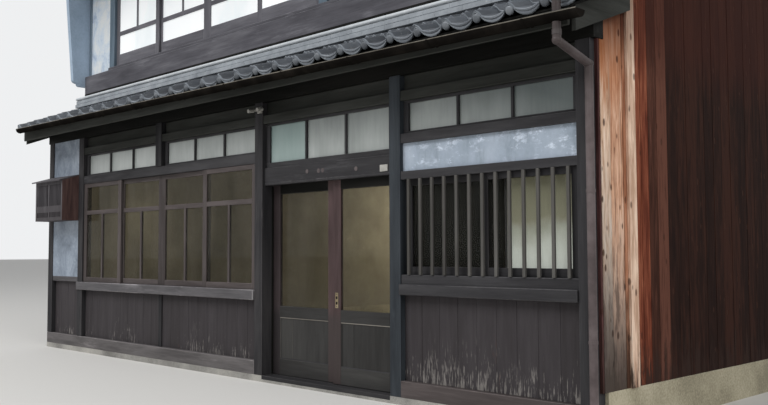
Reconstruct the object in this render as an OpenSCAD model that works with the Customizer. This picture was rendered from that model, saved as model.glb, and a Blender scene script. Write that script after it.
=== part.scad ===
// Two-storey timber townhouse with a tiled pent roof over the shop front.
// The frame has +X to the right along the street front, +Y into the house and +Z up.
// The origin lies on the ground below the ridge, midway between the two party walls.

/* [Bays] */
// Width of the plastered half bay at the left end, between post centres
half_bay = 837; // [700:1:1000]
// Width of each of the two window bays, between post centres
window_bay = 1839; // [1600:1:2100]
// Width of the entrance bay, between post centres
door_bay = 1832; // [1600:1:2100]
// Width of the lattice bay at the right end, between post centres
lattice_bay = 1789; // [1600:1:2100]
// Side of the square posts
post_w = 120; // [105:1:135]

/* [Depths] */
// Depth of the upper storey, between the centres of its front and rear walls
body_depth = 9090; // [7272:1:10908]
// How far the shop front stands ahead of the upper storey
step_depth = 500; // [400:1:600]

/* [Ground storey heights] */
// Height of the stone course under the front
plinth_h = 60; // [50:1:90]
// Height of the stone footing under the side walls
side_footing_h = 280; // [240:1:320]
// Height of the base beam
base_beam_h = 130; // [110:1:150]
// Underside of the window sill board above the base beam's underside
sill_z = 704; // [650:1:740]
// Thickness of the window sill board
sill_h = 97; // [80:1:110]
// Height of the two-step sill of the lattice bay
lattice_sill_h = 162; // [150:1:180]
// Top of the rail under the half bay's plaster above the base beam's underside
half_rail_top = 861; // [840:1:880]
// Height of the rail under the half bay's plaster
half_rail_h = 61; // [50:1:70]
// Underside of the window head rail above the base beam's underside
head_rail_z = 2016; // [1980:1:2060]
// Height of the window head rail
head_rail_h = 96; // [80:1:110]
// Underside of the entrance lintel above the base beam's underside
lintel_z = 1795; // [1780:1:1830]
// Height of the entrance lintel
lintel_h = 165; // [140:1:180]
// Underside of the rail over the lattice above the base beam's underside
lattice_head_z = 1741; // [1700:1:1780]
// Height of the rail over the lattice
lattice_head_h = 67; // [55:1:80]
// Underside of the rail over the transoms above the base beam's underside
top_rail_z = 2385; // [2370:1:2410]
// Height of the rail over the transoms
top_rail_h = 80; // [70:1:90]
// Height of the frieze board under the eave beam
frieze_h = 130; // [110:1:150]

/* [Windows and doors] */
// Thickness of a ground floor window sash
sash_t = 28; // [24:1:30]
// Width of a window sash's stile
sash_stile = 70; // [50:1:80]
// Overlap of two sliding window sashes
sash_overlap = 64; // [45:1:75]
// Thickness of the glass
glass_t = 5; // [4:1:6]
// Thickness of an entrance door
door_t = 33; // [30:1:36]
// Width of the left entrance door, which runs on the inner track
door_left_w = 924; // [870:1:930]
// Width of an entrance door's stile
door_stile = 100; // [85:1:110]
// Width of the left entrance door's meeting stile
door_meeting_stile = 130; // [110:1:140]
// Overlap of the two entrance doors where they meet
door_overlap = 17; // [10:1:40]
// Gap between the two entrance doors' planes
door_gap = 8; // [7:1:12]
// Number of bars in the lattice
lattice_bars = 13; // [9:1:17]
// Width of a lattice bar
lattice_bar_w = 36; // [30:1:42]
// Depth of a lattice bar
lattice_bar_d = 34; // [28:1:38]

/* [Upper storey] */
// Underside of the upper sill beam above the base beam's underside
upper_sill_z = 3295; // [3280:1:3360]
// Height of the upper sill beam
upper_sill_h = 250; // [200:1:260]
// Thickness of the sill board under the upper windows
upper_cill_h = 35; // [25:1:45]
// Height of an upper window sash
upper_sash_h = 1440; // [1300:1:1500]
// Width of an upper window sash, from edge to edge
upper_sash_w = 1050; // [1000:1:1090]
// Overlap of two sliding upper sashes
upper_overlap = 40; // [30:1:60]
// Width of the plaster strip beside the first upper window
upper_strip_w = 514; // [450:1:560]
// Height of the beam over the upper windows
upper_head_h = 120; // [100:1:140]
// Height of the plaster band between the upper window head and the eave purlin
upper_band_h = 210; // [180:1:260]
// Height of the eave purlin at its outer face
purlin_h = 150; // [130:1:180]
// Thickness of the upper floor's boards
floor_t = 30; // [24:1:36]
// Height of the beams under the upper floor
floor_beam_h = 210; // [180:1:240]
// Spacing of the beams under the upper floor
floor_beam_step = 909; // [800:1:1000]

/* [Pent roof] */
// Rise of the pent roof for each unit of depth
pent_slope = 0.38; // [0.34:0.01:0.41]
// Distance of the pent roof's deck edge ahead of the shop front's post centres
pent_out = 390; // [340:1:420]
// Overhang of the pent roof beyond the left corner post
pent_left = 176; // [120:1:220]
// Overhang of the pent roof beyond the right corner post
pent_right = 219; // [180:1:260]
// Number of tile rows on the pent roof
pent_rows = 4; // [3:1:4]
// Number of tile columns on the pent roof
pent_columns = 30; // [26:1:34]

/* [Main roof] */
// Rise of the main roof for each unit of depth
main_slope = 0.40; // [0.35:0.01:0.45]
// Distance of the main roof's deck edge ahead of the upper wall's post centres
main_out = 890; // [820:1:920]
// Overhang of the main roof beyond the corner posts
main_verge = 280; // [200:1:350]
// Number of tile columns on the main roof
main_columns = 31; // [27:1:35]

/* [Roof parts] */
// Thickness of the roof decks
deck_t = 18; // [12:1:24]
// Height of the rafters
rafter_h = 75; // [60:1:90]
// Width of the rafters
rafter_w = 45; // [36:1:60]
// Spacing of the rafters
rafter_step = 452; // [400:1:500]
// Height of the bargeboards, square to the slope
barge_h = 155; // [130:1:170]
// Thickness of the bargeboards
barge_t = 30; // [24:1:36]
// Height of the fascia boards
fascia_h = 112; // [90:1:130]
// Thickness of the fascia boards
fascia_t = 24; // [18:1:30]
// Thickness of a roof tile
tile_t = 20; // [16:1:22]
// Height of the roll of a roof tile above its pan's rim
tile_roll = 45; // [35:1:50]
// Depth of the pan of a roof tile
tile_pan = 20; // [14:1:24]
// Overhang of the tiles beyond the deck's edge
tile_lip = 8; // [4:1:12]
// Radius of the gutters
gutter_r = 52; // [45:1:56]
// Fall of a gutter from its left end to its right end
gutter_fall = 84; // [40:1:100]
// Radius of the rain pipes
pipe_r = 29; // [25:1:32]

/* [Small parts] */
// Width of the slatted cover box in the half bay
box_w = 763; // [650:1:790]
// Depth of the slatted cover box ahead of the posts
box_d = 212; // [180:1:240]
// Height of the slatted cover box at its front
box_h = 500; // [440:1:560]
// Thickness of the board cladding on the side walls
cladding_t = 26; // [20:1:32]
// Length of the wing wall's foot, ahead of the upper front
wing_foot = 227; // [180:1:270]
// Thickness of the wing wall
wing_t = 70; // [60:1:100]
// Thickness of the wainscot boards
wainscot_t = 24; // [18:1:28]

/* [Hidden] */

// Colours
dark_wood = "#453d3c";
door_wood = "#4b3b39";
grey_wood = "#5b5a5c";
cedar = "#a8734e";
plaster = "#9aa6b4";
stone = "#a79d8c";
tile_grey = "#7c8288";
glass_grey = "#b9c6c4";
pipe_brown = "#6f6467";

// Plan
half_post = post_w / 2;
left_x = -(half_bay + 2 * window_bay + door_bay + lattice_bay) / 2;
post_x = [
  left_x,
  left_x + half_bay,
  left_x + half_bay + window_bay,
  left_x + half_bay + 2 * window_bay,
  left_x + half_bay + 2 * window_bay + door_bay,
  -left_x];
inner_x = -left_x - half_post;
outer_x = -left_x + half_post;
upper_y = -body_depth / 2;
front_y = upper_y - step_depth;
rear_y = body_depth / 2;

// Levels of the ground storey
base_top = plinth_h + base_beam_h;
sill_bottom = plinth_h + sill_z;
sill_top = sill_bottom + sill_h;
half_rail = plinth_h + half_rail_top;
head_bottom = plinth_h + head_rail_z;
head_top = head_bottom + head_rail_h;
lintel_bottom = plinth_h + lintel_z;
lintel_top = lintel_bottom + lintel_h;
lattice_head = plinth_h + lattice_head_z;
top_rail_bottom = plinth_h + top_rail_z;
frieze_bottom = top_rail_bottom + top_rail_h;
beam_bottom = frieze_bottom + frieze_h;
lattice_sill_bottom = sill_bottom + 110;
lattice_sill_top = lattice_sill_bottom + lattice_sill_h;

// Slopes
pent_angle = atan(pent_slope);
main_angle = atan(main_slope);
function deck_drop(angle) = (deck_t + rafter_h) / cos(angle);

// Pent roof: the rafters rest on the eave beam's outer top edge
eave_beam_h = 176;
eave_beam_front = front_y - half_post;
pent_edge_y = front_y - pent_out;
pent_edge_z = beam_bottom + eave_beam_h + deck_drop(pent_angle)
  - pent_slope * (eave_beam_front - pent_edge_y);
function pent_z(y) = pent_edge_z + pent_slope * (y - pent_edge_y);
function pent_under(y) = pent_z(y) - deck_drop(pent_angle);
pent_x0 = -outer_x - pent_left;
pent_x1 = outer_x + pent_right;
pent_back_y = upper_y - half_post;

// Upper storey
upper_beam_bottom = plinth_h + upper_sill_z;
upper_beam_top = upper_beam_bottom + upper_sill_h;
upper_window_bottom = upper_beam_top + upper_cill_h;
upper_head_bottom = upper_window_bottom + upper_sash_h;
upper_head_top = upper_head_bottom + upper_head_h;
purlin_bottom = upper_head_top + upper_band_h;
purlin_top = purlin_bottom + purlin_h;
carrying_beam_h = 395;
floor_top = upper_beam_bottom + 105;
floor_beam_top = floor_top - floor_t;
floor_beam_bottom = floor_beam_top - floor_beam_h;

// Main roof
main_edge_y = upper_y - main_out;
main_edge_z = purlin_top + deck_drop(main_angle) - main_slope * (main_out - half_post);
function main_z(y) = main_edge_z + main_slope * (-abs(y) - main_edge_y);
function main_under(y) = main_z(y) - deck_drop(main_angle);
main_x = outer_x + main_verge;

// Small clearances
seat = 0.3;
cut = 10;

// A box between two corners
module block(x0, x1, y0, y1, z0, z1) {
  translate([x0, y0, z0])
    cube([x1 - x0, y1 - y0, z1 - z0]);
}

// An outline in depth and height, drawn out along the width
module along_x(x0, x1, outline) {
  translate([x0, 0, 0])
    rotate([90, 0, 90])
      linear_extrude(height = x1 - x0)
        polygon(outline);
}

// Both the piece and its mirror image at the rear
module front_and_rear() {
  children();
  mirror([0, 1, 0])
    children();
}

// Stonework

module front_plinth() {
  block(-outer_x, outer_x, front_y - half_post, front_y + half_post, 0, plinth_h);
}

threshold_h = 35;
door_x0 = post_x[3] + half_post;
door_x1 = post_x[4] - half_post;
track_y = front_y + 40;
track_depth = 2 * door_t + door_gap;
threshold_back = track_y + track_depth + 15;

module threshold_space() {
  block(door_x0, door_x1, front_y - half_post - cut, threshold_back,
    plinth_h - threshold_h, plinth_h + cut);
}

module plinths() {
  color(stone) {
    difference() {
      front_plinth();
      threshold_space();
    }
    block(-outer_x, outer_x, rear_y - half_post, rear_y + half_post, 0, plinth_h);
  }
}

module side_footings() {
  color(stone)
    for (side = [0, 1])
      mirror([side, 0, 0])
        block(inner_x, outer_x + cladding_t - 2, front_y + half_post, rear_y - half_post,
          0, side_footing_h);
}

module ground_floor() {
  color("#8b8378")
    difference() {
      block(-inner_x, inner_x, front_y + half_post, rear_y - half_post, 0, plinth_h);
      threshold_space();
    }
}

// Frame of the shop front

module base_beams() {
  color(dark_wood) {
    block(-outer_x, post_x[3] - half_post, front_y - half_post, front_y + half_post,
      plinth_h, base_top);
    block(post_x[4] + half_post, outer_x, front_y - half_post, front_y + half_post,
      plinth_h, base_top);
    block(-outer_x, outer_x, rear_y - half_post, rear_y + half_post, plinth_h, base_top);
  }
}

stud_w = 60;
stud_set = 20;

module front_post(x, z0, z1) {
  block(x - half_post, x + half_post, front_y - half_post, front_y + half_post, z0, z1);
}

module front_posts() {
  color(dark_wood) {
    for (i = [0, 1, 5])
      front_post(post_x[i], base_top, beam_bottom);
    block(post_x[2] - stud_w / 2, post_x[2] + stud_w / 2, front_y - stud_set, front_y + half_post,
      base_top, sill_bottom);
    front_post(post_x[2], head_top, beam_bottom);
    for (i = [3, 4])
      front_post(post_x[i], plinth_h, beam_bottom);
  }
}

sill_nose = 20;
rail_set = 10;

module front_rail(x0, x1, z0, z1, back = half_post) {
  block(x0, x1, front_y - half_post + rail_set, front_y + back, z0, z1);
}

module front_sills() {
  color(dark_wood) {
    front_rail(post_x[0] + half_post, post_x[1] - half_post, half_rail - half_rail_h, half_rail);
    block(post_x[1] + half_post, post_x[3] - half_post, front_y - half_post, front_y + half_post,
      sill_bottom, sill_top);
    block(post_x[1] - half_post, post_x[3] - half_post,
      front_y - half_post - sill_nose, front_y - half_post, sill_bottom, sill_top);
    front_rail(post_x[4] + half_post, post_x[5] - half_post,
      lattice_sill_bottom, lattice_sill_top, half_post + 15);
    block(post_x[4] + half_post, post_x[5] - half_post,
      front_y - half_post - sill_nose, front_y - half_post + rail_set,
      lattice_sill_bottom, lattice_sill_bottom + 86);
  }
}

module front_rails() {
  color(dark_wood) {
    front_rail(post_x[1] + half_post, post_x[3] - half_post, head_bottom, head_top);
    front_rail(post_x[4] + half_post, post_x[5] - half_post,
      lattice_head, lattice_head + lattice_head_h, half_post + 15);
    front_rail(post_x[4] + half_post, post_x[5] - half_post, head_top - 75, head_top);
    for (i = [1, 2, 3, 4])
      front_rail(post_x[i] + half_post, post_x[i + 1] - half_post,
        top_rail_bottom, frieze_bottom);
  }
}

groove_depth = 20;
groove_side = 5;
lintel_set = 30;

module door_lintel() {
  color(dark_wood)
    difference() {
      union() {
        block(door_x0, door_x1, front_y - half_post + lintel_set, front_y + half_post,
          lintel_bottom, lintel_top);
        block(door_x0 - half_post, door_x1 + half_post, front_y + half_post,
          threshold_back + 15, lintel_bottom, lintel_top);
      }
      block(door_x0, door_x1, track_y - groove_side, track_y + track_depth + groove_side,
        lintel_bottom - cut, lintel_bottom + groove_depth);
    }
}

module door_jambs() {
  color(dark_wood) {
    block(door_x0 - half_post, door_x0, front_y + half_post, threshold_back + 15,
      plinth_h, lintel_bottom);
    block(door_x1, door_x1 + half_post, front_y + half_post, threshold_back + 15,
      plinth_h, lintel_bottom);
  }
}

rail_w = 6;
rail_h = 5;
outer_track = track_y + door_t / 2;
inner_track = track_y + door_t + door_gap + door_t / 2;

module threshold() {
  color(grey_wood) {
    block(door_x0, door_x1, front_y - half_post, threshold_back,
      plinth_h - threshold_h, plinth_h);
    for (y = [outer_track, inner_track])
      block(door_x0, door_x1, y - rail_w / 2, y + rail_w / 2, plinth_h - 1, plinth_h + rail_h);
  }
}

board_t = 20;

module frieze_boards() {
  color(dark_wood)
    for (i = [1, 2, 3, 4])
      block(post_x[i] + half_post, post_x[i + 1] - half_post, front_y, front_y + board_t,
        frieze_bottom, beam_bottom);
}

// Plaster

panel_t = 60;
plaster_set = 12;

module front_plaster() {
  block(post_x[0] + half_post, post_x[1] - half_post, front_y - half_post + plaster_set,
    front_y + panel_t / 2, half_rail, beam_bottom);
  block(post_x[4] + half_post, post_x[5] - half_post, front_y - 20, front_y + panel_t,
    lattice_head + lattice_head_h, head_top - 75);
}

upper_panel_set = 48;
upper_panel_y = upper_y - upper_panel_set;

module wall_panel(x0, x1, z0, z1) {
  block(x0, x1, upper_panel_y, upper_panel_y + panel_t, z0, z1);
}

// Upper windows: a group of four sashes, a post and a group of two
group_a0 = -inner_x + upper_strip_w + post_w;
group_a1 = group_a0 + 4 * upper_sash_w - 2 * upper_overlap;
group_b0 = group_a1 + post_w;
group_b1 = group_b0 + 2 * upper_sash_w - upper_overlap;
upper_post_x = [
  -inner_x + upper_strip_w + half_post,
  group_a1 + half_post,
  group_b1 + half_post];

module upper_plaster() {
  wall_panel(-inner_x, upper_post_x[0] - half_post, upper_beam_top, purlin_bottom);
  wall_panel(upper_post_x[2] + half_post, inner_x, upper_beam_top, purlin_bottom);
  for (i = [0, 1])
    wall_panel(upper_post_x[i] + half_post, upper_post_x[i + 1] - half_post,
      upper_head_top, purlin_bottom);
}

rear_windows = [1, 3];
rear_blanks = [0, 2, 4];

module rear_bay_panel(i, z0, z1) {
  wall_panel(post_x[i] + half_post, post_x[i + 1] - half_post, z0, z1);
}

module rear_plaster() {
  for (i = rear_blanks) {
    rear_bay_panel(i, sill_top, upper_beam_bottom);
    rear_bay_panel(i, upper_window_bottom, purlin_bottom);
  }
  for (i = rear_windows) {
    rear_bay_panel(i, head_top, upper_beam_bottom);
    rear_bay_panel(i, upper_head_top, purlin_bottom);
  }
}

module plaster_panels() {
  color(plaster) {
    front_plaster();
    upper_plaster();
    mirror([0, 1, 0])
      rear_plaster();
  }
}

// Board panels under the windows

wainscot_set = 55;

module wainscot_panel(x0, x1, wall_y, z0, z1) {
  y0 = wall_y - half_post + wainscot_set;
  block(x0, x1, y0, y0 + wainscot_t, z0, z1);
}

module wainscot() {
  color(dark_wood) {
    wainscot_panel(post_x[0] + half_post, post_x[1] - half_post, front_y,
      base_top, half_rail - half_rail_h);
    wainscot_panel(post_x[1] + half_post, post_x[2] - stud_w / 2, front_y,
      base_top, sill_bottom);
    wainscot_panel(post_x[2] + stud_w / 2, post_x[3] - half_post, front_y,
      base_top, sill_bottom);
    wainscot_panel(post_x[4] + half_post, post_x[5] - half_post, front_y,
      base_top, lattice_sill_bottom);
    mirror([0, 1, 0])
      for (i = [0:4])
        wainscot_panel(post_x[i] + half_post, post_x[i + 1] - half_post, upper_y,
          base_top, sill_bottom);
  }
}

// Sashes: a frame with rails and bars, grooved for one sheet of glass

module pane(x0, x1, y0, t, z0, z1, stile, top, bottom) {
  block(x0 + stile, x1 - stile, y0 + t / 2 - glass_t / 2, y0 + t / 2 + glass_t / 2,
    z0 + bottom, z1 - top);
}

module sash(x0, x1, y0, t, z0, z1, stile, top, bottom, rails = [], rail = 40,
    bars = 0, bar = 20, bars_from = 0) {
  clear_w = x1 - x0 - 2 * stile;
  difference() {
    union() {
      difference() {
        block(x0, x1, y0, y0 + t, z0, z1);
        block(x0 + stile, x1 - stile, y0 - cut, y0 + t + cut, z0 + bottom, z1 - top);
      }
      for (z = rails)
        block(x0 + stile, x1 - stile, y0, y0 + t, z, z + rail);
      if (bars > 0)
        for (i = [1:bars])
          block(x0 + stile + i * clear_w / (bars + 1) - bar / 2,
            x0 + stile + i * clear_w / (bars + 1) + bar / 2,
            y0, y0 + t, max(bars_from, z0 + bottom), z1 - top);
    }
    pane(x0, x1, y0, t, z0, z1, stile, top, bottom);
  }
}

// Transoms over the windows and the entrance

transom_set = 10;
transom_y = front_y - transom_set;
transom_t = 50;
transom_edge = 22;
transom_stile = 52;
transom_bar = 20;
entrance_foot = 50;
transom_bays = [1, 2, 3, 4];
function transom_bottom(i) = i == 3 ? lintel_top : head_top;
function transom_foot(i) = i == 3 ? entrance_foot : transom_edge;

module transom_frames() {
  color(dark_wood)
    for (i = transom_bays)
      sash(post_x[i] + half_post, post_x[i + 1] - half_post, transom_y, transom_t,
        transom_bottom(i), top_rail_bottom, transom_stile, transom_edge, transom_foot(i),
        bars = 2, bar = transom_bar);
}

module transom_glass() {
  color(glass_grey)
    for (i = transom_bays)
      pane(post_x[i] + half_post, post_x[i + 1] - half_post, transom_y, transom_t,
        transom_bottom(i), top_rail_bottom, transom_stile, transom_edge, transom_foot(i));
}

// Four sliding window sashes: the outer pair on the front track

sash_gap = 7;
window_x0 = post_x[1] + half_post;
window_x1 = post_x[3] - half_post;
window_sash_w = (window_x1 - window_x0 + 2 * sash_overlap) / 4;
outer_sash_y = front_y - 40;
inner_sash_y = outer_sash_y + sash_t + sash_gap;
window_bottom_rail = 60;
window_top_rail = 50;
window_mid_rail = 50;
window_mid_up = 829;
window_mid_z = sill_top + window_mid_up;
window_sash_x = [
  window_x0,
  window_x0 + window_sash_w - sash_overlap,
  window_x0 + 2 * window_sash_w - sash_overlap,
  window_x0 + 3 * window_sash_w - 2 * sash_overlap];
function window_sash_y(i) = (i == 0 || i == 3) ? outer_sash_y : inner_sash_y;

module window_sashes() {
  color(door_wood)
    for (i = [0:3])
      sash(window_sash_x[i], window_sash_x[i] + window_sash_w, window_sash_y(i), sash_t,
        sill_top, head_bottom, sash_stile, window_top_rail, window_bottom_rail,
        rails = [window_mid_z], rail = window_mid_rail);
}

module window_glass() {
  color(glass_grey)
    for (i = [0:3])
      pane(window_sash_x[i], window_sash_x[i] + window_sash_w, window_sash_y(i), sash_t,
        sill_top, head_bottom, sash_stile, window_top_rail, window_bottom_rail);
}

// Lattice bay

lattice_x0 = post_x[4] + half_post;
lattice_x1 = post_x[5] - half_post;
lattice_edge = 25;
lattice_y = front_y - half_post;
lattice_step = (lattice_x1 - lattice_x0) / (lattice_bars + 0.3);

module lattice() {
  middle = (lattice_x0 + lattice_x1) / 2;
  color(dark_wood) {
    for (z = [lattice_sill_top, lattice_head - lattice_edge])
      block(lattice_x0, lattice_x1, lattice_y, lattice_y + lattice_bar_d, z, z + lattice_edge);
    for (i = [0:lattice_bars - 1]) {
      x = middle + (i - (lattice_bars - 1) / 2) * lattice_step;
      block(x - lattice_bar_w / 2, x + lattice_bar_w / 2,
        lattice_y, lattice_y + lattice_bar_d, lattice_sill_top, lattice_head);
    }
  }
}

lattice_outer_y = front_y - 20;
lattice_inner_y = lattice_outer_y + sash_t + 3;
lattice_sash_w = (lattice_x1 - lattice_x0 + sash_overlap) / 2;
lattice_bottom_rail = 64;
lattice_top_rail = 50;

module lattice_sashes() {
  color(door_wood) {
    sash(lattice_x0, lattice_x0 + lattice_sash_w, lattice_inner_y, sash_t,
      lattice_sill_top, lattice_head, sash_stile, lattice_top_rail, lattice_bottom_rail);
    sash(lattice_x1 - lattice_sash_w, lattice_x1, lattice_outer_y, sash_t,
      lattice_sill_top, lattice_head, sash_stile, lattice_top_rail, lattice_bottom_rail);
  }
}

module lattice_glass() {
  color(glass_grey) {
    pane(lattice_x0, lattice_x0 + lattice_sash_w, lattice_inner_y, sash_t,
      lattice_sill_top, lattice_head, sash_stile, lattice_top_rail, lattice_bottom_rail);
    pane(lattice_x1 - lattice_sash_w, lattice_x1, lattice_outer_y, sash_t,
      lattice_sill_top, lattice_head, sash_stile, lattice_top_rail, lattice_bottom_rail);
  }
}

// Entrance: two sliding doors that pass each other

door_z0 = plinth_h + rail_h + seat;
door_z1 = lintel_bottom + groove_depth - 7;
door_glass_up = 651;
door_glass_drop = 83;
door_glass_z0 = plinth_h + door_glass_up;
door_glass_z1 = lintel_bottom - door_glass_drop;
door_panel_z0 = door_z0 + 150;
door_panel_z1 = door_glass_z0 - 106;
door_panel_t = 12;
left_door_y = track_y + door_t + door_gap;
left_door_x1 = door_x0 + door_left_w;
right_door_x0 = left_door_x1 - door_overlap;

module door_leaf(x0, x1, y0, left, right) {
  panel_y = y0 + door_t / 2 - door_panel_t / 2;
  difference() {
    block(x0, x1, y0, y0 + door_t, door_z0, door_z1);
    block(x0 + left, x1 - right, y0 - cut, y0 + door_t + cut, door_glass_z0, door_glass_z1);
    block(x0 + left, x1 - right, y0 - cut, panel_y, door_panel_z0, door_panel_z1);
    block(x0 + left, x1 - right, panel_y + door_panel_t, y0 + door_t + cut,
      door_panel_z0, door_panel_z1);
  }
}

module door_pane(x0, x1, y0, left, right) {
  block(x0 + left, x1 - right, y0 + door_t / 2 - glass_t / 2, y0 + door_t / 2 + glass_t / 2,
    door_glass_z0, door_glass_z1);
}

module door_left() {
  color(door_wood)
    door_leaf(door_x0, left_door_x1, left_door_y, door_stile, door_meeting_stile);
}

module door_left_glass() {
  color(glass_grey)
    door_pane(door_x0, left_door_x1, left_door_y, door_stile, door_meeting_stile);
}

module door_right() {
  color(door_wood)
    door_leaf(right_door_x0, door_x1, track_y, door_stile, door_stile);
}

module door_right_glass() {
  color(glass_grey)
    door_pane(right_door_x0, door_x1, track_y, door_stile, door_stile);
}

// Slatted cover box on the half bay's plaster

box_board = 18;
box_x1 = post_x[1] - half_post;
box_x0 = box_x1 - box_w;
box_front = front_y - half_post - box_d;
box_z0 = plinth_h + 1565;
box_rise = 65;
box_frame = 45;
box_rail_z = 108;
box_rail_h = 80;
box_slats = 8;
box_slat_w = 14;
box_back = front_y - half_post + plaster_set;
box_slope = box_rise / (box_d + plaster_set);

module cover_box_shell() {
  along_x(box_x0, box_x1, [
    [box_front, box_z0],
    [box_back, box_z0],
    [box_back, box_z0 + box_h + box_rise],
    [box_front, box_z0 + box_h]]);
}

module cover_box_window(x0, x1, z0, z1) {
  step = (x1 - x0) / (box_slats + 1);
  difference() {
    block(x0, x1, box_front - cut, box_front + box_board + cut, z0, z1);
    for (i = [1:box_slats])
      block(x0 + i * step - box_slat_w / 2, x0 + i * step + box_slat_w / 2,
        box_front - 2 * cut, box_front + box_board, z0 - cut, z1 + cut);
  }
}

module cover_box() {
  middle = (box_x0 + box_x1) / 2;
  color(dark_wood)
    difference() {
      cover_box_shell();
      front_post(post_x[0], box_z0 - cut, box_z0 + 2 * box_h);
      block(-inner_x + box_board, box_x1 - box_board, box_front + box_board, box_back + cut,
        box_z0 + box_board, box_z0 + box_h + box_rise + cut);
      block(box_x0 + box_board, -inner_x + 2 * box_board,
        box_front + box_board, front_y - half_post - box_board,
        box_z0 + box_board, box_z0 + box_h + box_rise + cut);
      for (span = [[box_x0 + box_frame, middle - box_frame / 2],
          [middle + box_frame / 2, box_x1 - box_frame]]) {
        cover_box_window(span[0], span[1], box_z0 + box_frame, box_z0 + box_rail_z);
        cover_box_window(span[0], span[1], box_z0 + box_rail_z + box_rail_h,
          box_z0 + box_h - box_frame);
      }
    }
}

lid_t = 15;
lid_lip = 40;

module cover_box_lid() {
  front = box_front - lid_lip;
  low = box_z0 + box_h - lid_lip * box_slope + seat;
  back = box_z0 + box_h + box_rise + seat;
  color(dark_wood)
    difference() {
      along_x(box_x0 - lid_lip, box_x1, [
        [front, low],
        [box_back, back],
        [box_back, back + lid_t],
        [front, low + lid_t]]);
      front_post(post_x[0], box_z0, box_z0 + 2 * box_h);
    }
}

// Twin lamp on the entrance post

lamp_x = post_x[3] + 28;
lamp_drop = 75;
lamp_z = beam_bottom - lamp_drop;
lamp_r = 18;

module wall_light() {
  color("#6d6a66") {
    block(lamp_x - 30, lamp_x + 30, front_y - half_post - 14, front_y - half_post,
      lamp_z - 30, lamp_z + 30);
    block(lamp_x - 70, lamp_x + 70, front_y - half_post - 34, front_y - half_post - 13,
      lamp_z - 8, lamp_z + 8);
    for (side = [-1, 1])
      translate([lamp_x + side * 70, front_y - half_post - 30, lamp_z])
        rotate([100, 0, 0])
          cylinder(r = lamp_r, h = 62, $fn = 32);
  }
}

// Roof timbers shared by both roofs

function board_band(y0, y1, z0, z1, h) = [[y0, z0], [y1, z1], [y1, z1 + h], [y0, z0 + h]];
roof_span = -2 * left_x;
rafter_count = round(roof_span / rafter_step);
function rafter_x(i) = left_x + i * roof_span / rafter_count;

// Pent roof

barge_set = 100;
barge_set_right = 141;
barge_back = 44;
pent_deck_x0 = pent_x0 + barge_set;
pent_deck_x1 = pent_x1 - barge_set_right;
pent_drop = deck_t / cos(pent_angle);

beam_nose = 30;

module eave_beam() {
  y0 = eave_beam_front;
  y1 = front_y + half_post;
  color(dark_wood)
    along_x(-outer_x - beam_nose, outer_x + beam_nose, [
      [y0, beam_bottom], [y1, beam_bottom], [y1, pent_under(y1)], [y0, pent_under(y0)]]);
}

module pent_rafter(x) {
  y0 = pent_edge_y + fascia_t;
  y1 = pent_back_y;
  along_x(x - rafter_w / 2, x + rafter_w / 2,
    board_band(y0, y1, pent_under(y0), pent_under(y1), rafter_h / cos(pent_angle)));
}

module pent_rafters() {
  color(dark_wood)
    for (i = [0:rafter_count])
      pent_rafter(rafter_x(i));
}

module pent_deck() {
  color(dark_wood)
    along_x(pent_deck_x0, pent_deck_x1,
      board_band(pent_edge_y, pent_back_y, pent_z(pent_edge_y) - pent_drop,
        pent_z(pent_back_y) - pent_drop, pent_drop));
}

module pent_boards() {
  front = pent_edge_y + barge_back;
  h = barge_h / cos(pent_angle);
  edge = pent_z(pent_edge_y) - pent_drop;
  color(dark_wood) {
    for (x = [pent_deck_x0, pent_deck_x1 - barge_t])
      along_x(x, x + barge_t, [
        [front, pent_z(front) - pent_drop],
        [front + barge_h * sin(pent_angle), pent_z(front) - pent_drop - barge_h * cos(pent_angle)],
        [pent_back_y, pent_z(pent_back_y) - pent_drop - h],
        [pent_back_y, pent_z(pent_back_y) - pent_drop]]);
    along_x(pent_deck_x0 + barge_t + seat, pent_deck_x1 - barge_t - seat, [
      [pent_edge_y, edge - fascia_h],
      [pent_edge_y + fascia_t, edge - fascia_h],
      [pent_edge_y + fascia_t, edge + pent_slope * fascia_t],
      [pent_edge_y, edge]]);
  }
}

// Pantiles: each column is a roll and a hollow pan

tile_step = tile_t + seat;
roll_share = 0.3;
roll_parts = 4;
pan_parts = 6;
function roll_height(s) = tile_pan + tile_roll * sin(180 * s);
function pan_height(s) = tile_pan * (1 - sin(180 * s));
function column_line(x, w) = concat(
  [for (k = [0:roll_parts - 1]) [x + w * roll_share * k / roll_parts, roll_height(k / roll_parts)]],
  [for (k = [0:pan_parts - 1])
    [x + w * (roll_share + (1 - roll_share) * k / pan_parts), pan_height(k / pan_parts)]]);
function roll_line(x, w) = [for (k = [0:roll_parts])
  [x + w * roll_share * k / roll_parts, roll_height(k / roll_parts)]];
function wave_line(x0, w, columns) = concat(
  [for (i = [0:columns - 1], p = column_line(x0 + i * w, w)) p],
  roll_line(x0 + columns * w, w));

// The wave of a tiled strip, as one outline of even thickness
module tile_wave(x0, x1, columns, t) {
  line = wave_line(x0, (x1 - x0) / (columns + roll_share), columns);
  n = len(line);
  polygon(concat(
    [for (p = line) [p[0], p[1] + t]],
    [for (i = [n - 1:-1:0]) line[i]]));
}

module tile_strip(x0, x1, columns, t, length) {
  translate([0, length, 0])
    rotate([90, 0, 0])
      linear_extrude(height = length)
        tile_wave(x0, x1, columns, t);
}

pent_tile_length = (pent_back_y - pent_edge_y) / cos(pent_angle) - 74 + tile_lip;

module pent_tiles() {
  row = pent_tile_length / pent_rows;
  tilt = asin(tile_step / row);
  color(tile_grey)
    translate([0, pent_edge_y, pent_edge_z])
      rotate([pent_angle, 0, 0])
        for (i = [0:pent_rows - 1])
          translate([0, (i + 1) * row - tile_lip, seat])
            rotate([-tilt, 0, 0])
              translate([0, -row, 0])
                tile_strip(pent_x0, pent_x1, pent_columns, tile_t, row - 2 * seat);
}

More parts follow.
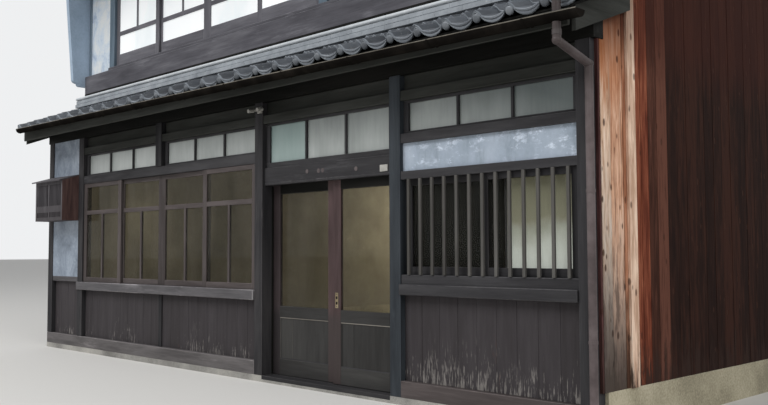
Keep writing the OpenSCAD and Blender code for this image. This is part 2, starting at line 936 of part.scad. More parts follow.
flashing_top = upper_beam_bottom - 28;
flashing_slab = 36;

module pent_flashing() {
  bed_y = pent_back_y - 64;
  slab_z = flashing_top - 4 * flashing_slab;
  color(tile_grey)
    along_x(pent_x0 + barge_set, pent_x1 - barge_set_right, [
      [pent_back_y, pent_z(pent_back_y)],
      [bed_y, pent_z(bed_y)],
      [bed_y, slab_z],
      [bed_y - 60, slab_z],
      [bed_y - 60, slab_z + flashing_slab],
      [bed_y - 45, slab_z + flashing_slab],
      [bed_y - 45, slab_z + 2 * flashing_slab],
      [bed_y - 30, slab_z + 2 * flashing_slab],
      [bed_y - 30, slab_z + 3 * flashing_slab],
      [pent_back_y, flashing_top]]);
}

// Gutters and rain pipes

gutter_wall = 3;
gutter_ahead = 70;
gutter_x0 = pent_x0 + 157;
gutter_x1 = pent_x1 - 33;
gutter_angle = atan(gutter_fall / (gutter_x1 - gutter_x0));
bracket_w = 20;
outlet_x = outer_x + 9;

module gutter_section(r0, r1) {
  intersection() {
    difference() {
      circle(r = r1, $fn = 48);
      circle(r = r0, $fn = 48);
    }
    translate([-r1, -r1])
      square([2 * r1, r1]);
  }
}

module gutter_piece(x, w, r0, r1) {
  translate([x, 0, 0])
    rotate([90, 0, 90])
      linear_extrude(height = w)
        gutter_section(r0, r1);
}

// A gutter from x0 to x1 that falls to the right, with its left rim's centre line at height z
module gutter(x0, x1, edge_y, z, angle) {
  length = (x1 - x0) / cos(angle);
  brackets = 10;
  translate([x0, edge_y - gutter_ahead, z])
    rotate([0, angle, 0]) {
      gutter_piece(0, length, gutter_r - gutter_wall, gutter_r);
      for (x = [0, length - gutter_wall])
        gutter_piece(x, gutter_wall, 0, gutter_r - gutter_wall + 1);
      for (i = [0:brackets - 1]) {
        x = length * (i + 0.5) / brackets;
        gutter_piece(x, bracket_w, gutter_r - 1, gutter_r + gutter_wall);
        block(x, x + bracket_w, gutter_r - 1, gutter_ahead, -gutter_wall, 0);
        block(x, x + bracket_w, gutter_ahead - gutter_wall, gutter_ahead, -40, 0);
      }
    }
}

gutter_lift = 14;
pent_gutter_z = pent_edge_z + gutter_lift;

module pent_gutter() {
  color(pipe_brown)
    gutter(gutter_x0, gutter_x1, pent_edge_y, pent_gutter_z, gutter_angle);
}

// A straight length of pipe between two points
module pipe_run(p, q) {
  v = q - p;
  d = norm(v);
  translate(p)
    rotate([0, acos(v[2] / d), atan2(v[1], v[0])])
      cylinder(r = pipe_r, h = d, $fn = 32);
}

collar = 3;

module pipe_elbow(p) {
  translate(p)
    sphere(r = pipe_r + collar, $fn = 32);
}

function gutter_floor(z, x0, x, angle) =
  z - (x - x0) * tan(angle) - gutter_r / cos(angle);

pipe_y = front_y - half_post - pipe_r - collar - seat;

bend_drop = 88;
bend_fall = 100;
pipe_foot = 10;

module pent_downpipe() {
  top = [outlet_x, pent_edge_y - gutter_ahead,
    gutter_floor(pent_gutter_z, gutter_x0, outlet_x, gutter_angle) - 1];
  bend = [outlet_x, top[1], beam_bottom - bend_drop];
  wall = [outlet_x, pipe_y, bend[2] - bend_fall];
  foot = [outlet_x, pipe_y, pipe_foot];
  color(pipe_brown) {
    pipe_run(top, bend);
    pipe_elbow(bend);
    pipe_run(bend, wall);
    pipe_elbow(wall);
    pipe_run(wall, foot);
  }
}

// Side walls

// Outline of a side wall up to the undersides of the roof decks
function side_outline(y0, y1, y2) = [
  [y0, side_footing_h],
  [y2, side_footing_h],
  [y2, main_z(y2) - deck_t / cos(main_angle)],
  [0, main_z(0) - deck_t / cos(main_angle)],
  [y1, main_z(y1) - deck_t / cos(main_angle)],
  [y1, upper_beam_bottom],
  [upper_y - half_post, upper_beam_bottom],
  [upper_y - half_post, pent_z(upper_y - half_post) - pent_drop],
  [y0, pent_z(y0) - pent_drop]];

module side_walls() {
  color(plaster)
    for (side = [0, 1])
      mirror([side, 0, 0])
        difference() {
          along_x(inner_x, outer_x,
            side_outline(front_y + half_post, upper_y + half_post, rear_y - half_post));
          rafter_notches();
          main_purlin_set(seat);
        }
}

// Room for the end rafters, open at the wall's top
module rafter_notches() {
  along_x(-left_x - rafter_w / 2, -left_x + rafter_w / 2, [
    [pent_edge_y, pent_under(pent_edge_y)],
    [upper_y, pent_under(upper_y)],
    [upper_y, pent_z(upper_y)],
    [pent_edge_y, pent_z(pent_edge_y)]]);
  along_x(-left_x - rafter_w / 2, -left_x + rafter_w / 2, [
    [main_edge_y, main_under(main_edge_y)],
    [0, main_under(0)],
    [-main_edge_y, main_under(main_edge_y)],
    [-main_edge_y, main_z(main_edge_y)],
    [0, main_z(0)],
    [main_edge_y, main_z(main_edge_y)]]);
}

batten_w = 90;
batten_t = 25;

module side_cladding() {
  color(cedar)
    for (side = [0, 1])
      mirror([side, 0, 0])
        difference() {
          union() {
            along_x(outer_x, outer_x + cladding_t,
              side_outline(front_y + half_post, upper_y - half_post, rear_y + half_post));
            for (y = [upper_y - half_post, rear_y - 30])
              along_x(outer_x + cladding_t - 1, outer_x + cladding_t + batten_t, [
                [y, side_footing_h],
                [y + batten_w, side_footing_h],
                [y + batten_w, main_z(y + batten_w) - deck_t / cos(main_angle)],
                [y, main_z(y) - deck_t / cos(main_angle)]]);
          }
          main_purlin_set(seat);
        }
}

wing_lean = 0.076;
wing_round_y = 64;
wing_round_z = 46;
wing_step = 37;
wing_z = upper_beam_bottom + 115;
wing_front = pent_back_y - wing_foot;

// The foot has a small step and a rounded front corner
module wing_wall() {
  corner_z = wing_z + wing_step + wing_round_z;
  top_y = wing_front - wing_lean * (main_under(wing_front) - corner_z);
  color("#7f8c9a")
    along_x(-outer_x, wing_t - outer_x, concat(
      [[pent_back_y, wing_z],
        [wing_front + wing_round_y + 30, wing_z],
        [wing_front + wing_round_y + 8, wing_z + 10]],
      [for (a = [270:-15:180])
        [wing_front + wing_round_y * (1 + cos(a)), corner_z + wing_round_z * sin(a)]],
      [[top_y, main_under(top_y) - seat], [pent_back_y, main_under(pent_back_y) - seat]]));
}

// Upper storey

module carrying_beam() {
  color(dark_wood)
    block(-inner_x, inner_x, upper_y - half_post, upper_y + half_post,
      upper_beam_bottom - carrying_beam_h, upper_beam_bottom);
}

upper_sill_nose = 60;
upper_cill_nose = 50;

// The beam's nose laps the left post up to the wing wall,
// and the sill's nose starts at the middle of the first window post
module upper_sill_beam() {
  front = upper_y - half_post;
  color(grey_wood) {
    block(-inner_x, inner_x, front, upper_y + half_post, upper_beam_bottom, upper_beam_top);
    block(wing_t - outer_x, inner_x, front - upper_sill_nose, front,
      upper_beam_bottom, upper_beam_top);
    block(upper_post_x[0] - half_post, upper_post_x[2] + half_post, front,
      upper_y + half_post, upper_beam_top, upper_window_bottom);
    block(upper_post_x[0], upper_post_x[2] + half_post, front - upper_cill_nose, front,
      upper_beam_top, upper_window_bottom);
  }
}

module upper_post(x, z0, z1) {
  block(x - half_post, x + half_post, upper_y - half_post, upper_y + half_post, z0, z1);
}

module upper_posts() {
  color(dark_wood) {
    for (x = [left_x, -left_x])
      upper_post(x, upper_beam_bottom, purlin_bottom);
    for (x = upper_post_x)
      upper_post(x, upper_window_bottom, purlin_bottom);
  }
}

upper_sash_set = 22;
upper_sash_y = upper_y - upper_sash_set;
upper_inner_y = upper_sash_y + sash_t + sash_gap;

module upper_head() {
  color(dark_wood)
    for (i = [0, 1])
      block(upper_post_x[i] + half_post, upper_post_x[i + 1] - half_post,
        upper_y - half_post + rail_set, upper_y + half_post, upper_head_bottom, upper_head_top);
}

upper_stile = 70;
upper_top_rail = 60;
upper_bottom_rail = 170;
upper_mid_z = upper_window_bottom + 416;
upper_mid_rail = 54;
upper_sash_x = [
  group_a0,
  group_a0 + upper_sash_w - upper_overlap,
  group_a0 + 2 * upper_sash_w - upper_overlap,
  group_a0 + 3 * upper_sash_w - 2 * upper_overlap,
  group_b0,
  group_b0 + upper_sash_w - upper_overlap];
upper_track = [0, 1, 1, 0, 0, 1];
function upper_plane(track) = track == 0 ? upper_sash_y : upper_inner_y;

module upper_sashes() {
  color(grey_wood)
    for (i = [0:5])
      sash(upper_sash_x[i], upper_sash_x[i] + upper_sash_w, upper_plane(upper_track[i]), sash_t,
        upper_window_bottom, upper_head_bottom, upper_stile, upper_top_rail, upper_bottom_rail,
        rails = [upper_mid_z], rail = upper_mid_rail,
        bars = 1, bar = 34, bars_from = upper_mid_z);
}

module upper_glass() {
  color(glass_grey)
    for (i = [0:5])
      pane(upper_sash_x[i], upper_sash_x[i] + upper_sash_w, upper_plane(upper_track[i]), sash_t,
        upper_window_bottom, upper_head_bottom, upper_stile, upper_top_rail, upper_bottom_rail);
}

module floor_beams() {
  color(dark_wood)
    for (i = [1:floor(body_depth / floor_beam_step) - 1]) {
      y = upper_y + i * floor_beam_step;
      block(-inner_x, inner_x, y - half_post, y + half_post, floor_beam_bottom, floor_beam_top);
    }
}

module upper_floor() {
  color("#8a7158")
    block(-inner_x, inner_x, upper_y + half_post, rear_y - half_post, floor_beam_top, floor_top);
}

// Rear wall, drawn as a front and mirrored

module rear_posts() {
  color(dark_wood)
    mirror([0, 1, 0])
      for (x = post_x)
        block(x - half_post, x + half_post, upper_y - half_post, upper_y + half_post,
          base_top, purlin_bottom);
}

module rear_rail(i, z0, z1) {
  block(post_x[i] + half_post, post_x[i + 1] - half_post,
    upper_y - half_post + rail_set, upper_y + half_post, z0, z1);
}

module rear_rails() {
  color(dark_wood)
    mirror([0, 1, 0])
      for (i = [0:4]) {
        rear_rail(i, sill_bottom, sill_top);
        rear_rail(i, upper_beam_bottom, upper_window_bottom);
        if (i == 1 || i == 3) {
          rear_rail(i, head_bottom, head_top);
          rear_rail(i, upper_head_bottom, upper_head_top);
        }
      }
}

module rear_sash_pair(i) {
  x0 = post_x[i] + half_post;
  x1 = post_x[i + 1] - half_post;
  w = (x1 - x0 + sash_overlap) / 2;
  for (s = [[x0, upper_sash_y], [x1 - w, upper_inner_y]]) {
    sash(s[0], s[0] + w, s[1], sash_t, sill_top, head_bottom,
      sash_stile, window_top_rail, window_bottom_rail,
      rails = [window_mid_z], rail = window_mid_rail);
    sash(s[0], s[0] + w, s[1], sash_t, upper_window_bottom, upper_head_bottom,
      sash_stile, upper_top_rail, upper_bottom_rail,
      rails = [upper_mid_z], rail = upper_mid_rail, bars = 1, bar = 34, bars_from = upper_mid_z);
  }
}

module rear_pane_pair(i) {
  x0 = post_x[i] + half_post;
  x1 = post_x[i + 1] - half_post;
  w = (x1 - x0 + sash_overlap) / 2;
  for (s = [[x0, upper_sash_y], [x1 - w, upper_inner_y]]) {
    pane(s[0], s[0] + w, s[1], sash_t, sill_top, head_bottom,
      sash_stile, window_top_rail, window_bottom_rail);
    pane(s[0], s[0] + w, s[1], sash_t, upper_window_bottom, upper_head_bottom,
      sash_stile, upper_top_rail, upper_bottom_rail);
  }
}

module rear_sashes() {
  color(grey_wood)
    mirror([0, 1, 0])
      for (i = rear_windows)
        rear_sash_pair(i);
}

module rear_glass() {
  color(glass_grey)
    mirror([0, 1, 0])
      for (i = rear_windows)
        rear_pane_pair(i);
}

// Main roof

main_board_set = 25;
main_deck_x = main_x - main_board_set;
main_purlin_x = main_deck_x - barge_t;
main_drop = deck_t / cos(main_angle);
ridge_beam_h = 240;
moya_h = 180;

// One purlin whose top follows the rafters' undersides, or lies a little above them for its notch
module main_purlin(y, h, over) {
  y0 = y - half_post;
  y1 = y + half_post;
  low = main_under(y) - h;
  along_x(-main_purlin_x, main_purlin_x, concat(
    [[y0, low], [y1, low], [y1, main_under(y1) + over]],
    abs(y) < half_post ? [[0, main_under(0) + over]] : [],
    [[y0, main_under(y0) + over]]));
}

module main_purlin_set(over = 0) {
  for (y = [upper_y, rear_y])
    along_x(-main_purlin_x, main_purlin_x, [
      [y - half_post, purlin_bottom],
      [y + half_post, purlin_bottom],
      [y + half_post, main_under(y + half_post) + over],
      [y - half_post, main_under(y - half_post) + over]]);
  for (k = [-2, -1, 1, 2])
    main_purlin(k * body_depth / 6, moya_h, over);
  main_purlin(0, ridge_beam_h, over);
}

module main_purlins() {
  color(dark_wood)
    main_purlin_set();
}

// A band up one slope, between two heights from the deck's top
function slope_band(edge_y, low, high) = [
  [edge_y, main_z(edge_y) + low],
  [-seat / 2, main_z(-seat / 2) + low],
  [-seat / 2, main_z(-seat / 2) + high],
  [edge_y, main_z(edge_y) + high]];

module main_rafter(x) {
  front_and_rear()
    along_x(x - rafter_w / 2, x + rafter_w / 2,
      slope_band(main_edge_y + fascia_t, -deck_drop(main_angle), -main_drop));
}

module main_rafters() {
  color(dark_wood)
    for (i = [0:rafter_count])
      main_rafter(rafter_x(i));
}

module main_deck() {
  color(dark_wood)
    front_and_rear()
      along_x(-main_deck_x, main_deck_x, slope_band(main_edge_y, -main_drop, 0));
}

module main_boards() {
  h = barge_h / cos(main_angle);
  edge = main_z(main_edge_y) - main_drop;
  color(dark_wood)
    front_and_rear() {
      for (x = [-main_deck_x, main_deck_x - barge_t])
        along_x(x, x + barge_t, slope_band(main_edge_y, -main_drop - h, -main_drop));
      along_x(-main_deck_x + barge_t + seat, main_deck_x - barge_t - seat, [
        [main_edge_y, edge - fascia_h],
        [main_edge_y + fascia_t, edge - fascia_h],
        [main_edge_y + fascia_t, edge + main_slope * fascia_t],
        [main_edge_y, edge]]);
    }
}

ridge_half = 105;
main_tile_t = 38;

module main_tiles() {
  length = (-main_edge_y - ridge_half) / cos(main_angle) + tile_lip;
  color(tile_grey)
    front_and_rear()
      translate([0, main_edge_y, main_edge_z])
        rotate([main_angle, 0, 0])
          translate([0, -tile_lip, seat])
            tile_strip(-main_x, main_x, main_columns, main_tile_t, length - 2);
}

ridge_slabs = 4;
ridge_slab = 35;
ridge_slab_half = 150;
ridge_slab_set = 12;
ridge_lift = 90;
ridge_cap_r = 80;
ridge_end_t = 40;
ridge_end_half = 170;
ridge_end_drop = 30;
ridge_end_shoulder = 110;
ridge_end_top = 250;
ridge_end_top_half = 95;

module main_ridge() {
  slab_z = main_z(0) + ridge_lift;
  foot = ridge_half - 1;
  x = main_x - ridge_end_t;
  color(tile_grey) {
    along_x(-x, x, concat(
      [[-foot, main_z(foot)], [0, main_z(0)], [foot, main_z(foot)], [foot, slab_z]],
      [for (i = [0:ridge_slabs - 1], k = [0, 1])
        [ridge_slab_half - ridge_slab_set * i, slab_z + (i + k) * ridge_slab]],
      [for (i = [ridge_slabs - 1:-1:0], k = [1, 0])
        [-ridge_slab_half + ridge_slab_set * i, slab_z + (i + k) * ridge_slab]],
      [[-foot, slab_z]]));
    translate([-x, 0, slab_z + ridge_slabs * ridge_slab - 1])
      rotate([90, 0, 90])
        linear_extrude(height = 2 * x)
          intersection() {
            circle(r = ridge_cap_r, $fn = 48);
            translate([-ridge_cap_r, 0])
              square([2 * ridge_cap_r, ridge_cap_r]);
          }
    for (side = [0, 1])
      mirror([side, 0, 0])
        along_x(x - 1, main_x, [
          [-ridge_end_half, slab_z - ridge_end_drop],
          [ridge_end_half, slab_z - ridge_end_drop],
          [ridge_end_half, slab_z + ridge_end_shoulder],
          [ridge_end_top_half, slab_z + ridge_end_top],
          [-ridge_end_top_half, slab_z + ridge_end_top],
          [-ridge_end_half, slab_z + ridge_end_shoulder]]);
  }
}

main_gutter_x0 = -main_x + 20;
main_gutter_x1 = main_x - 20;
main_gutter_angle = atan(gutter_fall / (main_gutter_x1 - main_gutter_x0));
main_gutter_z = main_edge_z - 12;

module main_gutters() {
  color(pipe_brown)
    front_and_rear()
      gutter(main_gutter_x0, main_gutter_x1, main_edge_y, main_gutter_z, main_gutter_angle);
}

module main_downpipe() {
  y = main_edge_y - gutter_ahead;
  top_z = gutter_floor(main_gutter_z, main_gutter_x0, outlet_x, main_gutter_angle) - 1;
  end_z = gutter_floor(pent_gutter_z, gutter_x0, outlet_x, gutter_angle) + 30;
  rear_top = [outlet_x, -y, top_z];
  rear_bend = [outlet_x, -y, top_z - 120];
  rear_wall = [outlet_x, rear_y + half_post + pipe_r + collar + seat, top_z - 520];
  rear_foot = [outlet_x, rear_wall[1], 10];
  color(pipe_brown) {
    pipe_run([outlet_x, y, end_z], [outlet_x, y, top_z]);
    pipe_run(rear_top, rear_bend);
    pipe_elbow(rear_bend);
    pipe_run(rear_bend, rear_wall);
    pipe_elbow(rear_wall);
    pipe_run(rear_wall, rear_foot);
  }
}

plinths();
side_footings();
ground_floor();
base_beams();
threshold();
front_posts();
front_sills();
front_rails();
door_lintel();
door_jambs();
frieze_boards();
plaster_panels();
wainscot();
transom_frames();
transom_glass();
window_sashes();
window_glass();
lattice();
lattice_sashes();
lattice_glass();
door_left();
door_left_glass();
door_right();
door_right_glass();
cover_box();
cover_box_lid();
wall_light();
eave_beam();
pent_rafters();
pent_deck();
pent_tiles();
pent_flashing();
pent_boards();
pent_gutter();
pent_downpipe();
side_walls();
side_cladding();
wing_wall();
carrying_beam();
upper_sill_beam();
upper_posts();
upper_head();
upper_sashes();
upper_glass();
floor_beams();
upper_floor();
rear_posts();
rear_rails();
rear_sashes();
rear_glass();
main_purlins();
main_rafters();
main_deck();
main_tiles();
main_ridge();
main_boards();
main_gutters();
main_downpipe();
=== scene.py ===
"""Looks of the two-storey townhouse: camera, light, materials, roof tiles, boards and small fittings."""
import math
import random
import bpy
import numpy as np
from mathutils import Matrix, Vector
from mathutils.bvhtree import BVHTree


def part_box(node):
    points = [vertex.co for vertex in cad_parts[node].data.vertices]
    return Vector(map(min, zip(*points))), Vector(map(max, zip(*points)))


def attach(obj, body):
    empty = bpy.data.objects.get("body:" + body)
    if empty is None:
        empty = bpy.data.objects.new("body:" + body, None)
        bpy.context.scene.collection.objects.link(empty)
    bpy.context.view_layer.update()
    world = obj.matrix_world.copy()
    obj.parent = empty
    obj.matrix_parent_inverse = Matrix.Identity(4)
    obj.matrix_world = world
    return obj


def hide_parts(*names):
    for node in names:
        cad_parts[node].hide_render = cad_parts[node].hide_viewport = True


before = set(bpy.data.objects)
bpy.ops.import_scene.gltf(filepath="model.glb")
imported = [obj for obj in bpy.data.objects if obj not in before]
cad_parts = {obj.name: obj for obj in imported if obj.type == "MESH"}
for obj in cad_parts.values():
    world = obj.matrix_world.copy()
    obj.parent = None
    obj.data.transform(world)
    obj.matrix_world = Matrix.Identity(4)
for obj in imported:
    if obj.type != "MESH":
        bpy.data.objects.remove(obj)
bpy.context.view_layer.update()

rng = random.Random(7)
scene = bpy.context.scene


def add_object(name, data):
    thing = bpy.data.objects.new(name, data)
    scene.collection.objects.link(thing)
    return thing


# Camera: solved from the photograph's straight lines

PHOTO_W, PHOTO_H = 768, 405
FOCAL_PX = 894.62
PRINCIPAL_Y = 201.29
YAW, PITCH, ROLL = 0.79053, 0.05606, -0.00381
CAMERA_AT = (7.3704, -10.2630, 1.2221)


def make_camera():
    data = bpy.data.cameras.new("camera")
    data.sensor_width = 36
    data.lens = FOCAL_PX * data.sensor_width / PHOTO_W
    data.shift_y = (PRINCIPAL_Y - PHOTO_H / 2) / PHOTO_W
    data.clip_end = 200
    scene.camera = add_object("camera", data)
    scene.camera.matrix_world = Matrix.Translation(CAMERA_AT)
    for angle, axis in ((YAW, "Z"), (math.pi / 2 + PITCH, "X"), (ROLL, "Z")):
        scene.camera.matrix_world @= Matrix.Rotation(angle, 4, axis)


make_camera()
scene.view_settings.view_transform = "Standard"

# Materials


def linear(colour, factor=1.0):
    """A colour written as 0xRRGGBB, as a linear one times a factor. A tuple is linear already."""
    if isinstance(colour, tuple):
        return colour
    shares = [(colour >> shift & 255) / 255 for shift in (16, 8, 0)]
    light = [s / 12.92 if s <= 0.04045 else ((s + 0.055) / 1.055) ** 2.4 for s in shares]
    return tuple(min(1, factor * s) for s in light) + (1.0,)


def math_node(operation):
    return lambda self, other: self.nodes.field("Math", self, other, operation=operation)


class Field:
    """A number or colour that varies over a surface. Sums and products of it are Math nodes."""

    def __init__(self, nodes, socket):
        self.nodes, self.socket = nodes, socket

    __add__, __sub__, __mul__ = math_node("ADD"), math_node("SUBTRACT"), math_node("MULTIPLY")
    __rmul__, __pow__, larger = __mul__, math_node("POWER"), math_node("MAXIMUM")

    def held(self):
        """Keeps the last sum or product between 0 and 1."""
        self.socket.node.use_clamp = True
        return self

    def span(self, low, high, to_low=0.0, to_high=1.0):
        """Maps low to high onto to_low to to_high, with nothing beyond them."""
        return self.nodes.field("MapRange", self, low, high, to_low, to_high)

    def ramp(self, *stops):
        node = self.nodes.node("ValToRGB", self)
        ends = node.color_ramp.elements
        while len(ends) < len(stops):
            ends.new(0.5)
        for end, (at, colour) in zip(ends, stops):
            end.position = at
            end.color = linear(colour)
        return Field(self.nodes, node.outputs["Color"])

    def mix(self, share, other):
        """This colour with a share of the other one over it."""
        node = self.nodes.node("Mix", data_type="RGBA", Factor=share)
        for socket, value in zip([s for s in node.inputs if s.type == "RGBA"], (self, other)):
            self.nodes.feed(socket, value)
        return Field(self.nodes, next(s for s in node.outputs if s.type == "RGBA"))


class Nodes:
    """A node tree with short ways to add to it."""

    def __init__(self, tree):
        self.tree = tree

    def feed(self, socket, value):
        if isinstance(value, bpy.types.Node):
            value = value.outputs[0]
        elif isinstance(value, Field):
            value = value.socket
        if isinstance(value, bpy.types.NodeSocket):
            self.tree.links.new(value, socket)
        else:
            socket.default_value = linear(value) if socket.type == "RGBA" else value

    def node(self, kind, *values, **named):
        """A node with values for its first sockets. Names with capitals are sockets, others properties."""
        node = self.tree.nodes.new("ShaderNode" + kind)
        for key, value in named.items():
            if key[0].isupper():
                self.feed(node.inputs[key], value)
            else:
                setattr(node, key, value)
        for socket, value in zip(node.inputs, values):
            self.feed(socket, value)
        return node

    def field(self, kind, *values, output=0, **named):
        return Field(self, self.node(kind, *values, **named).outputs[output])


class Look(Nodes):
    """A material round a Principled shader."""

    def __init__(self, name, rough=0.7, **sockets):
        self.material = bpy.data.materials.new(name)
        self.material.use_nodes = True
        super().__init__(self.material.node_tree)
        self.shader = self.tree.nodes["Principled BSDF"]
        self.set(Roughness=rough, **sockets)
        self.place = self.node("TexCoord").outputs["Object"]

    def set(self, **sockets):
        for key, value in sockets.items():
            self.feed(self.shader.inputs[key.replace("_", " ")], value)

    def squeezed(self, squeeze):
        """The place on the surface times squeeze, which is a factor for z or three of them."""
        if squeeze is None:
            return self.place
        scale = squeeze if isinstance(squeeze, tuple) else (1, 1, squeeze)
        return self.node("Mapping", Vector=self.place, Scale=scale)

    def noise(self, scale, detail=3.0, rough=0.55, distort=0.0, squeeze=None):
        return self.field("TexNoise", output="Fac", Vector=self.squeezed(squeeze), Scale=scale, Detail=detail,
                          Roughness=rough, Distortion=distort)

    def axis(self, letter):
        return self.field("SeparateXYZ", self.place, output=letter)

    def island(self, low, high):
        """A number from low to high, another one for every loose part of the mesh."""
        return self.field("NewGeometry", output="Random Per Island").span(0, 1, low, high)

    def finish(self, colour, rough=None, bump=None, strength=0.3, depth=0.004, glow=0.0):
        self.set(Base_Color=colour)
        if rough:
            self.set(Roughness=rough)
        if bump:
            self.set(Normal=self.node("Bump", Strength=strength, Distance=depth, Height=bump))
        # Painted glow: the surface gives off its own colour as light
        if glow:
            self.set(Emission_Color=colour, Emission_Strength=glow)
        return self.material


def wood(name, dark, mid, pale, axis, rough=0.7, wear=0.0, gloss=0.2, foot=None, side=None):
    """Sawn wood with its grain along one axis.

    wear is how much of it is scuffed paler, foot two heights with the colour below them,
    and side two places along x with the two colours beyond them."""
    look = Look(name, rough, Specular_IOR_Level=gloss)

    def grain(squeeze, *settings):
        return look.noise(*settings, squeeze=tuple(squeeze if letter == axis else 1 for letter in "XYZ"))

    streak, fibre = grain(0.12, 14, 4, 0.6, 0.3), grain(0.035, 130, 3, 0.7)
    tone = 0.5 * grain(0.3, 1.5, 3, 0.6) + 0.32 * streak + 0.18 * fibre
    colour = (tone + look.island(-0.035, 0.035)).held().ramp((0.36, dark), (0.5, mid), (0.64, pale))
    if wear:
        scuff = grain(0.12, 9, 5, 0.75) * look.noise(1.1, 2)
        colour = colour.mix(scuff.span(0.36 - 0.1 * wear, 0.5 - 0.1 * wear, 0, 0.7), linear(pale, 1.6))
    if foot:
        colour = colour.mix(look.axis("Z").span(foot[0], foot[1], 0.85, 0), foot[2])
    if side:
        beyond = look.noise(20, 3, 0.6, squeeze=0.1).ramp((0.35, side[2]), (0.65, side[3]))
        colour = colour.mix(look.axis("X").span(side[0], side[1]), beyond)
    return look.finish(colour, streak.span(0.3, 0.7, rough + 0.12, rough - 0.1), 0.5 * fibre + streak, 0.35)


def palette(name, dark, mid, pale, edge, **settings):
    """The same wood along each axis, and the rubbed wood of its edges."""
    along = [wood(f"{name}_wood_{axis}", dark, mid, pale, axis, **settings) for axis in "XYZ"]
    return along + [wood(name + "_wood_edge", mid, pale, edge, "Z", **settings)]


CHARCOAL = palette("charcoal", 0x1E1E20, 0x2E2D2F, 0x3E3C3D, 0x585657, wear=0.1)
# Near-black wood: partly the dark smoked wood under the eaves, partly painted shade where it stands in for
# shadow
SMOKED_AND_SHADE = palette("smoked_and_shade", 0x0C0C0B, 0x141412, 0x1E1D1B, 0x242321, gloss=0.1)
FRIEZE = palette("frieze", 0x282926, 0x363734, 0x444542, 0x4E4F4B, gloss=0.1)
RAIL = palette("rail", 0x282729, 0x363537, 0x464547, 0x646262, wear=0.1)
BLUISH = palette("bluish", 0x272B30, 0x363B40, 0x464B51, 0x5E6369, wear=0.1)
WASHED = palette("washed", 0x444244, 0x5A585A, 0x6E6B6D, 0xA09D9E, wear=0.4)
LATTICE = palette("lattice", 0x403E3B, 0x52504D, 0x62605D, 0x74716D)
WEATHERED = palette("weathered", 0x3E3D42, 0x545359, 0x6E6D72, 0x86868B, wear=0.6)
UPPER_POST = palette("upper_post", 0x4E5C68, 0x667683, 0x7C8B98, 0x8C99A4)
UPPER_SASH = palette("upper_sash", 0x4C4A50, 0x626167, 0x76757B, 0x8A8A8E, wear=0.3)
SASH = palette("sash", 0x3C3635, 0x4E4746, 0x605857, 0x7A716E, rough=0.6)
BASE = palette("base", 0x504D4D, 0x696565, 0x807B7B, 0xA6A2A0, wear=0.4)
DOOR = palette("door", 0x2C2B2A, 0x383736, 0x444341, 0x6C6964, rough=0.6)
DOOR_RED = palette("door_stile", 0x403232, 0x524141, 0x62504F, 0x705E5C, rough=0.55,
                   foot=(0.62, 0.72, 0x3E3736))
DOOR_SIDE = palette("door_side", 0x2A2425, 0x372F30, 0x443C3D, 0x5C5252, rough=0.55,
                    foot=(0.62, 0.72, 0x302D2E))
FLOORING = palette("floor", 0x463424, 0x604A34, 0x786046, 0x826C52, rough=0.45, gloss=0.4)
# Pale wood for the panels' top mouldings: a painted highlight
moulding_highlight_wood = wood("moulding_painted_highlight", 0x78736C, 0x969189, 0xACA79E, "X")
plug_wood = wood("plug_wood", 0x544D4D, 0x625A5A, 0x706867, "Z")

COVER = [0x3E3B3E, 0x504D50, 0x625F62]
COVER_SIDE_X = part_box("cover_box")[1][0]
lid_wood = wood("cover_wood_X", *COVER, "X")
# The cover box is redder and darker on its side towards the windows
cover_wood = wood("cover_boards", *COVER, "Z", foot=(1.66, 1.9, 0x464244),
                  side=(COVER_SIDE_X - 0.004, COVER_SIDE_X - 0.002, 0x443230, 0x604A46))


def plaster_look(name, dark, mid, pale, bloom, share, glow=0.0):
    """Trowelled plaster; bloom is the colour of the chalky patches and share how many there are."""
    look = Look(name, 0.88)
    cloud, fine = look.noise(1.7, 4, 0.6), look.noise(38, 4, 0.6)
    colour = (0.75 * cloud + 0.25 * fine).ramp((0.35, dark), (0.52, mid), (0.68, pale))
    spots = look.noise(7.5, 6, 0.68, 0.6, squeeze=1.6)
    patch = (spots.span(0.6 - share, 0.66 - share) * cloud.span(0.4, 0.6)).held()
    return look.finish(colour.mix(patch, bloom), None, fine + 0.6 * spots, 0.25, glow=glow)


